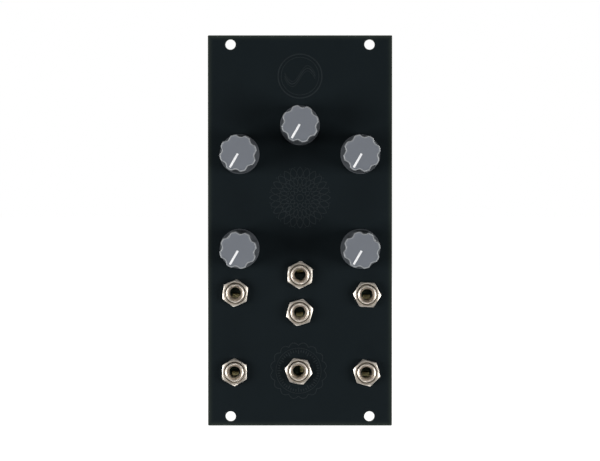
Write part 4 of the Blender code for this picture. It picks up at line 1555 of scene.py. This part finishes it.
    def leaf_mesh(self, sizes, name):
        """The tip contact: a straight root, a rising leaf, a crest in the plug's way, an upright lip."""
        z = axis_of(f"jack_barrel_{name}")[1]
        low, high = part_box(f"jack_tip_spring_{name}")
        root = (high.y - sizes.leaf / 2, low.z - z + sizes.leaf / 2)
        nose_inset, bend = 0.9 * MM, 0.9 * MM
        nose = (low.y + nose_inset, high.z - z - sizes.leaf / 2)
        run = root[0] - nose[0]
        rise = nose[1] - root[1]
        shares = ((0.0, 0.0), (0.25, 0.08), (0.75, 0.86), (1.0, 1.20), (1.12, 1.10), (1.24, 0.68))
        corners = [(root[0] - run * along, root[1] + rise * up) for along, up in shares]
        bm = bmesh.new()
        add_band(bm, eased(corners, bend, 6, closed=False), sizes.leaf_width, sizes.leaf)
        return smooth_mesh(bm, "socket_leaf", tarnished_shaded_bronze(), angle=50.0)

    def terminal_mesh(self, board, name):
        """Sleeve, switch and tip terminals through the board, and the springs in the side windows."""
        low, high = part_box(f"jack_housing_{name}")
        half_x = half_size(f"jack_housing_{name}")[0]
        reach = board_back() + board.pin_reach
        pin_root, spring_inner, spring_outer = 0.5 * MM, 0.45 * MM, 0.15 * MM
        spring_start, spring_stop, half_width, ease = 2.6 * MM, 2.0 * MM, 1.5 * MM, 0.08 * MM
        spring = (half_x - spring_inner, half_x - spring_outer)
        bm = bmesh.new()
        for x, z, width, height in JACK_PINS:
            add_pin(bm, x * MM, z * MM, high.y - pin_root, reach, width * MM, height * MM)
        for side in SIDES.values():
            start, end = (low.y + spring_start, -half_width), (high.y - spring_stop, half_width)
            add_side_box(bm, side, spring, start, end, ease)
        return smooth_mesh(bm, "socket_terminals", tin())


def path(start, side, *steps):
    """Points of a trace. Each step is counted from the start, outwards and up, in millimetres."""
    return [(start[0] + side * out * MM, start[1] + up * MM) for out, up in steps]


CHIP_LEGS = 7  # on each side of a chip
MIDDLE_LEG = CHIP_LEGS // 2

# A solder joint's outline: radius as a share of the pad's, and millimetres over the board
SOLDER_PROFILE = (
    (0.0, -0.02), (1.0, -0.02), (1.0, 0.03), (0.94, 0.06), (0.66, 0.28),
    (0.46, 0.62), (0.36, 0.98), (0.3, 1.04), (0.0, 1.04),
)


class MODULE_OT_board(ModuleOperator, bpy.types.Operator):
    """Makes the control board with its traces, solder and white outlines"""

    bl_idname = "module.board"
    bl_label = "Control board"

    def make(self, scene):
        sizes = scene.module_board
        low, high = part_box("control_board")
        corner, ease = 1.0 * MM, 0.08 * MM
        bm = bmesh.new()
        for face in add_plate(bm, (high.x, high.z), corner, 6, low.y, high.y, ease, trim=ease):
            face.normal_update()
            face.material_index = 0 if abs(face.normal.y) > 0.9 else 1
        mesh = smooth_mesh(bm, "circuit_board", board_green(), board_core())
        add_piece("circuit_board", mesh, "module", ["control_board"])
        self.add_traces(sizes, high.y)
        self.add_legend(sizes, high.y)
        self.add_solder(sizes, high.y)

    def add_traces(self, sizes, back):
        """The copper lines on the board's back."""
        bm = bmesh.new()

        def run(width, *points):
            add_line(bm, points, width, back - sizes.copper, back + sizes.copper)

        for name, side in SIDES.items():
            self.chip_traces(run, sizes, name, side)
            self.supply_traces(run, sizes, name, side)
        for name, side in SIDES.items():
            self.jack_trace(run, sizes, name, side)
        self.fan_traces(run, sizes)
        mesh = smooth_mesh(bm, "board_traces", trace_green())
        add_piece("board_traces", mesh, "module")

    def chip_traces(self, run, sizes, name, side):
        """Nested bends from the outer legs of a chip, and a short line from every other inner leg."""
        x, z = axis_of(f"amplifier_chip_{name}")
        reach = half_size(f"amplifier_chip_{name}")[0] + 2.0 * MM
        outer = x + side * reach
        for leg in range(CHIP_LEGS):
            leg_z = z + (MIDDLE_LEG - leg) * sizes.leg_pitch
            way = 1 if leg <= MIDDLE_LEG else -1
            far = (7.2 if way > 0 else -12.2) * MM
            jog = (0.6 + 0.55 * leg) * MM
            bend = outer + side * jog
            start = path((outer, leg_z), side, (-0.8, 0.0), (0.0, 0.0))
            run(sizes.trace, *start, (bend, leg_z + math.copysign(jog, far - leg_z)), (bend, far))
            if leg % 2 == 0:
                inner = (x - side * reach, leg_z)
                run(sizes.trace, *path(inner, side, (0.8, 0.0), (-0.2, 0.0), (-1.0, 0.8 * way)))

    def supply_traces(self, run, sizes, name, side):
        """A broad line from the header to a capacitor, and one from there to a chip."""
        header = axis_of("power_header")
        can = axis_of(f"capacitor_{name}")
        chip_x = axis_of(f"amplifier_chip_{name}")[0]
        turn = (can[0] - side * 4.4 * MM, header[1] + 4.6 * MM)
        run(sizes.supply, *path(header, side, (5.08, 1.27), (8.5, 4.6)), turn, *path(can, side, (-0.9, 0.9)))
        down = path(can, side, (0.0, -2.6), (0.0, -5.0), (-3.0, -8.0))
        run(sizes.supply, *down, (chip_x + side * 1.0 * MM, down[-1][1]))

    def jack_trace(self, run, sizes, name, side):
        """A line from an upper jack on one side to the lower one."""
        upper, lower = axis_of(f"jack_barrel_{name}"), axis_of(f"jack_barrel_bottom_{name}")
        start = path(upper, side, (0.0, -4.7), (-3.0, -7.7))
        run(sizes.trace, *start, (start[-1][0], lower[1] + 6.0 * MM), (lower[0], lower[1] + 3.1 * MM))

    def fan_traces(self, run, sizes):
        """Five lines that spread downwards in the middle of the board."""
        for column in range(-2, 3):
            out = 0.9 * column
            top = -31.9 - 0.6 * abs(column)
            points = ((out, top), (out, -35.0), (3 * out, -35.0 - 2 * abs(out)), (3 * out, -39.2))
            run(sizes.trace, *path((0.0, 0.0), 1, *points))

    def add_legend(self, sizes, back):
        """White outlines round the parts on the board's back."""
        bm = bmesh.new()

        def draw(points, width=sizes.legend, closed=False):
            add_line(bm, points, width, back - sizes.copper, back + 0.7 * sizes.copper, closed)

        room, corner, gap = 0.5 * MM, 0.5 * MM, 0.4 * MM
        bar_away, bar_width, control_ring, socket_ring = 1.2 * MM, 0.7 * MM, 3.4 * MM, 2.0 * MM
        for node in ("power_header", "capacitor_left", "capacitor_right"):
            x, z = axis_of(node)
            half_x, half_z = half_size(node)
            outline = box_outline(half_x + room, half_z + room, corner)
            draw([(x + px, z + pz) for px, pz in outline], closed=True)
        low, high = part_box("power_header")
        bar = low.x - bar_away
        draw([(bar, low.z), (bar, high.z)], width=bar_width)
        for name in SIDES:
            low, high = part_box(f"amplifier_chip_{name}")
            for z in (low.z - gap, high.z + gap):
                draw([(low.x, z), (high.x, z)])
        for kind, names, radius in (("pot_nut_", POTS, control_ring), ("jack_barrel_", JACKS, socket_ring)):
            for name in names:
                draw(circle(radius, 40, axis_of(kind + name)), closed=True)
        add_piece("board_legend", smooth_mesh(bm, "board_legend", legend_white()), "module")

    def add_solder(self, sizes, back):
        """A hollow-sided cone of solder round each pin that comes through the board."""
        spots = []
        for name in JACKS:
            place = seat(f"jack_barrel_{name}", jack_turn(name))
            spots += [(place @ Vector((x * MM, 0.0, z * MM)), 1.0) for x, z, _, _ in JACK_PINS]
        for name in POTS:
            place = seat(f"pot_nut_{name}")
            for pins, stretch in zip(control_pins(name), (1.0, 1.5)):
                spots += [(place @ Vector((x, 0.0, z)), stretch) for x, z in pins]
        bm = bmesh.new()
        for spot, stretch in spots:
            width = sizes.pad * (1 + 0.4 * (stretch - 1))
            profile = [(share * width, back + y * MM) for share, y in SOLDER_PROFILE]
            longer = Matrix.Diagonal((1.0, 1.0, stretch, 1.0))
            add_turned(bm, profile, 28, place=aside(spot.x, spot.z) @ longer)
        add_piece("solder_joints", smooth_mesh(bm, "solder_joints", tin(), angle=45.0), "module")


class MODULE_OT_header(ModuleOperator, bpy.types.Operator):
    """Makes the keyed power header and its pins"""

    bl_idname = "module.header"
    bl_label = "Power header"

    def make(self, scene):
        floor_thickness = 2.5 * MM
        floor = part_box("power_header")[0].y + floor_thickness
        mesh = self.shroud_mesh(floor)
        add_piece("header_shroud", mesh, "module", ["power_header"])
        self.add_pins(scene.module_board, floor)

    def shroud_mesh(self, floor):
        """The shroud: its room with a flared mouth, its key, and a mark in each long side."""
        low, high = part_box("power_header")
        half_x, half_z = half_size("power_header")
        place = aside(*axis_of("power_header"))
        wall, flare, half_key = 1.2 * MM, 0.35 * MM, 2.25 * MM
        mark_x, mark_z, mark_away, mark_depth = 0.5 * MM, 0.9 * MM, 4.5 * MM, 0.5 * MM
        corner, ease, room_ease, mouth_corner = 0.5 * MM, 0.2 * MM, 0.15 * MM, 0.1 * MM
        over = high.y + OVER
        inner_x, inner_z = half_x - wall, half_z - wall
        bm, room, key, marks, mouth = (bmesh.new() for _ in range(5))
        add_plate(bm, (half_x, half_z), corner, 3, low.y, high.y, ease, place=place)
        add_box(room, (-inner_x, floor, -inner_z), (inner_x, over, inner_z), room_ease, place=place)
        add_box(key, (-half_key, floor, -half_z - OVER), (half_key, over, 0.0), place=place)
        start, end = (-mark_x, low.y - OVER, -mark_z), (mark_x, low.y + mark_depth, mark_z)
        for side in SIDES.values():
            add_box(marks, start, end, place=place @ aside(side * mark_away, side * half_z))
        rings = []
        for y, grow in ((high.y - flare, 0.0), (high.y + flare, 2 * flare)):
            rings.append(raised(box_outline(inner_x + grow, inner_z + grow, mouth_corner, 1), y))
        add_loft(mouth, rings, place=place)
        return carved(bm, (room, key, marks, mouth), "header_shroud", black_plastic())

    def add_pins(self, sizes, floor):
        """Two rows of five square pins."""
        x, z = axis_of("power_header")
        pitch, width = sizes.pin_pitch, sizes.pin_width
        sunk, length = 0.2 * MM, 6.0 * MM
        start, end = floor - sunk, floor + length
        bm = bmesh.new()
        for column in (-2, -1, 0, 1, 2):
            for row in (-0.5, 0.5):
                add_pin(bm, x + column * pitch, z + row * pitch, start, end, width, width)
        add_piece("header_pins", smooth_mesh(bm, "header_pins", gold()), "module")


class MODULE_OT_chips(ModuleOperator, bpy.types.Operator):
    """Makes the two amplifier chips with their gull-wing legs"""

    bl_idname = "module.chips"
    bl_label = "Chips"

    def make(self, scene):
        for name in SIDES:
            node = f"amplifier_chip_{name}"
            place = seat(node)
            add_piece(f"chip_body_{name}", self.body_mesh(node), "module", [node], place)
            legs = self.leg_mesh(scene.module_board, node)
            add_piece(f"chip_legs_{name}", legs, "module", place=place)

    def body_mesh(self, node):
        """The moulded body, widest in its middle, with a dimple by its first leg."""
        low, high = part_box(node)
        half_x, half_z = half_size(node)
        middle = (low.y + high.y) / 2
        draft, chamfer, half_band, corner = 0.12 * MM, 0.1 * MM, 0.04 * MM, 0.15 * MM
        levels = (
            (low.y, draft), (middle - half_band, 0.0), (middle + half_band, 0.0),
            (high.y - chamfer, draft), (high.y, draft + chamfer),
        )
        outlines = [(box_outline(half_x - inset, half_z - inset, corner, 2), y) for y, inset in levels]
        bm = bmesh.new()
        add_loft(bm, [raised(outline, y) for outline, y in outlines])
        wide, narrow, margin, depth = 0.42 * MM, 0.34 * MM, 0.9 * MM, 0.1 * MM
        over, floor = high.y + OVER, high.y - depth
        dimple = bmesh.new()
        profile = [(0.0, over), (wide, over), (narrow, floor), (0.0, floor)]
        add_turned(dimple, profile, 24, place=aside(margin - half_x, half_z - margin))
        return carved(bm, [dimple], "chip_body", chip_resin(), angle=20.0)

    def leg_mesh(self, sizes, node):
        """Two rows of bent legs."""
        low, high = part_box(node)
        middle = (low.y + high.y) / 2
        sunk, lifted, bend, width, sheet = 0.2 * MM, 0.06 * MM, 0.15 * MM, 0.4 * MM, 0.18 * MM
        root = half_size(node)[0] - sunk
        floor = board_back() + lifted
        corners = [(0.0, middle), (0.55, middle), (0.75, floor), (1.5, floor)]
        line = eased([(root + away * MM, y) for away, y in corners], bend, 3, closed=False)
        bm = bmesh.new()
        for side in SIDES.values():
            for leg in range(CHIP_LEGS):
                leg_z = (leg - MIDDLE_LEG) * sizes.leg_pitch
                turn = Matrix(((0, side, 0, 0), (0, 0, 1, 0), (1, 0, 0, leg_z), (0, 0, 0, 1)))
                add_band(bm, line, width, sheet, place=turn)
        return smooth_mesh(bm, "chip_legs", tin())


class MODULE_OT_capacitors(ModuleOperator, bpy.types.Operator):
    """Makes the two electrolytic capacitors"""

    bl_idname = "module.capacitors"
    bl_label = "Capacitors"

    def make(self, scene):
        margin, base_height, mark_inset = 0.15 * MM, 1.2 * MM, 0.65 * MM
        for name in SIDES:
            node = f"capacitor_{name}"
            low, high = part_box(node)
            half = half_size(node)[0]
            radius = half - margin
            base_top = low.y + base_height
            place = seat(node)
            can = self.can_mesh(radius, base_top, high.y)
            add_piece(f"can_{name}", can, "module", [node], place)
            base = self.base_mesh(half, low.y, base_top)
            add_piece(f"can_base_{name}", base, "module", place=place)
            mark = self.mark_mesh(radius - mark_inset, high.y)
            add_piece(f"can_mark_{name}", mark, "module", place=place)

    def can_mesh(self, radius, base_top, end):
        """The can with its crimped groove and its raised rim."""
        foot, sunk, ease = 0.25 * MM, 0.1 * MM, 0.22 * MM
        groove_height, groove_half, groove_depth = 1.8 * MM, 0.35 * MM, 0.3 * MM
        shoulder, rim, dip_edge, dip = 0.05 * MM, 0.4 * MM, 0.6 * MM, 0.12 * MM
        groove = base_top + groove_height
        profile = eased([
            (radius - foot, base_top - sunk), (radius, base_top + foot),
            (radius, groove - groove_half), (radius - groove_depth, groove), (radius, groove + groove_half),
            (radius, end - shoulder), (radius - rim, end), (radius - dip_edge, end - dip),
        ], ease, 4, closed=False)
        bm = bmesh.new()
        add_loft(bm, [ring(reach, y, 64) for reach, y in profile])
        return smooth_mesh(bm, "can", can_aluminium(), angle=50.0)

    def base_mesh(self, half, front, back):
        """The plastic foot with two corners cut off, and its two terminals."""
        cut, ease, corner, shrink = 1.3 * MM, 0.12 * MM, 0.2 * MM, 0.1 * MM
        corners = [
            (-half, -half), (half, -half), (half, half - cut),
            (half - cut, half), (cut - half, half), (-half, half - cut),
        ]
        outline = eased(corners, corner, 2)
        shrunk = [point * (1 - shrink / half) for point in outline]
        bm = bmesh.new()
        add_slab(bm, outline, shrunk, front, back, ease)
        half_x, half_z, away, bevel = 0.4 * MM, 0.9 * MM, 0.45 * MM, 0.05 * MM
        gap, top = 0.02 * MM, 0.32 * MM
        terminal_front = board_back() + gap
        terminal_back = board_back() + top
        for side in (-1, 1):
            z = side * (half + away)
            start, end = (-half_x, terminal_front, z - half_z), (half_x, terminal_back, z + half_z)
            add_box(bm, start, end, bevel, slot=1)
        return smooth_mesh(bm, "can_base", black_plastic(), tin())

    def mark_mesh(self, radius, end):
        """The black segment on the can's end."""
        steps = 24
        start, sweep = math.pi * 1.12, math.pi * 0.76
        angles = [start + sweep * step / steps for step in range(steps + 1)]
        outline = [(radius * math.cos(angle), radius * math.sin(angle)) for angle in angles]
        bm = bmesh.new()
        add_loft(bm, [raised(outline, y) for y in (end - 0.14 * MM, end - 0.095 * MM)])
        return smooth_mesh(bm, "can_mark", black_plastic())


# The kinds of small parts: how often one comes, its height against a resistor's, and its body's finish
SMALL_PARTS = {
    "resistors": (6, 1.0, chip_resin),
    "ceramic_capacitors": (4, 1.7, ceramic),
    "diodes": (1, 2.0, black_plastic),
}


class MODULE_OT_small_parts(ModuleOperator, bpy.types.Operator):
    """Sets the rows of small resistors, capacitors and diodes on the board's back"""

    bl_idname = "module.small_parts"
    bl_label = "Small parts"

    def make(self, scene):
        length, width, height = scene.module_board.chip_part
        dice = random.Random(7)
        groups = {kind: bmesh.new() for kind in SMALL_PARTS}
        weights = [weight for weight, _, _ in SMALL_PARTS.values()]
        for x, z, turn in self.spots():
            kind = dice.choices(list(groups), weights)[0]
            turned = Matrix.Rotation(math.radians(turn + dice.uniform(-1.5, 1.5)), 4, "Y")
            place = aside(x * MM, z * MM) @ turned
            add_small_part(groups[kind], place, length, width, height * SMALL_PARTS[kind][1], board_back())
        for kind, bm in groups.items():
            add_piece(kind, smooth_mesh(bm, kind, SMALL_PARTS[kind][2](), tin()), "module")

    def spots(self):
        """The x, z and turn of each part, in millimetres and degrees: upright ones, then level ones."""
        pitch = 2.6
        found = []
        for z in (7.4, 4.4):
            found += [(column * pitch, z, 90) for column in range(-5, 6)]
        for z in (-12.4, -38.0, 44.2, 48.0):
            found += [(side * (5.2 + column * pitch), z, 90) for side in (-1, 1) for column in range(4)]
        for x, lowest, count in ((1.6, -7.6, 4), (12.6, -33.0, 3)):
            for row in range(count):
                found += [(side * x, lowest + row * pitch, 0) for side in (-1, 1)]
        return found


def add_small_part(bm, place, length, width, height, base):
    """A small part that lies along X: body, two end caps, and a slope of solder at each end."""
    cap = length * 0.2
    half = length / 2
    ease = 0.05 * MM
    body_x, body_z = half - cap * 0.8, width / 2 * 0.97
    start, end = (-body_x, base + 0.03 * MM, -body_z), (body_x, base + height, body_z)
    add_box(bm, start, end, ease, 1, place=place)
    slope = (
        (half - cap, -0.01 * MM), (half - cap, 0.05 * MM), (half, height * 0.62),
        (half + 0.16 * MM, height * 0.22), (half + 0.42 * MM, 0.03 * MM), (half + 0.42 * MM, -0.01 * MM),
    )
    slope_z = width / 2 + 0.05 * MM
    for side in (-1, 1):
        start, end = (base + 0.02 * MM, -width / 2), (base + height + 0.015 * MM, width / 2)
        add_side_box(bm, side, (half - cap, half), start, end, ease, segments=1, slot=1, place=place)
        rings = [[(side * x, base + y, z) for x, y in slope] for z in (-slope_z, slope_z)]
        add_loft(bm, rings, slot=1, place=place)


OPERATORS = (
    MODULE_OT_stage,
    MODULE_OT_panel,
    MODULE_OT_print,
    MODULE_OT_knobs,
    MODULE_OT_controls,
    MODULE_OT_jacks,
    MODULE_OT_board,
    MODULE_OT_header,
    MODULE_OT_chips,
    MODULE_OT_capacitors,
    MODULE_OT_small_parts,
)


class MODULE_PT_dressing(bpy.types.Panel):
    """Lists the operators and the sizes and colours that they use"""

    bl_idname = "MODULE_PT_dressing"
    bl_label = "Rack module"
    bl_space_type = "VIEW_3D"
    bl_region_type = "UI"
    bl_category = "Module"

    def draw(self, context):
        for operator in OPERATORS:
            self.layout.operator(operator.bl_idname)
        for name, group in SETTINGS.items():
            box = self.layout.box()
            box.label(text=group.__doc__.rstrip("."))
            for key in group.__annotations__:
                box.prop(getattr(context.scene, name), key)


def register():
    """Adds the settings, the operators and the panel to Blender."""
    for group in SETTINGS.values():
        bpy.utils.register_class(group)
    for name, group in SETTINGS.items():
        setattr(bpy.types.Scene, name, PointerProperty(type=group))
    for operator in OPERATORS:
        bpy.utils.register_class(operator)
    bpy.utils.register_class(MODULE_PT_dressing)


def unregister():
    """Takes them out again."""
    bpy.utils.unregister_class(MODULE_PT_dressing)
    for operator in reversed(OPERATORS):
        bpy.utils.unregister_class(operator)
    for name, group in SETTINGS.items():
        delattr(bpy.types.Scene, name)
        bpy.utils.unregister_class(group)


def main():
    """Makes the studio and every piece."""
    register()
    bpy.ops.module.stage()
    bpy.ops.module.panel()
    bpy.ops.module.print()
    bpy.ops.module.knobs()
    bpy.ops.module.controls()
    bpy.ops.module.jacks()
    bpy.ops.module.board()
    bpy.ops.module.header()
    bpy.ops.module.chips()
    bpy.ops.module.capacitors()
    bpy.ops.module.small_parts()


if __name__ == "__main__":
    main()
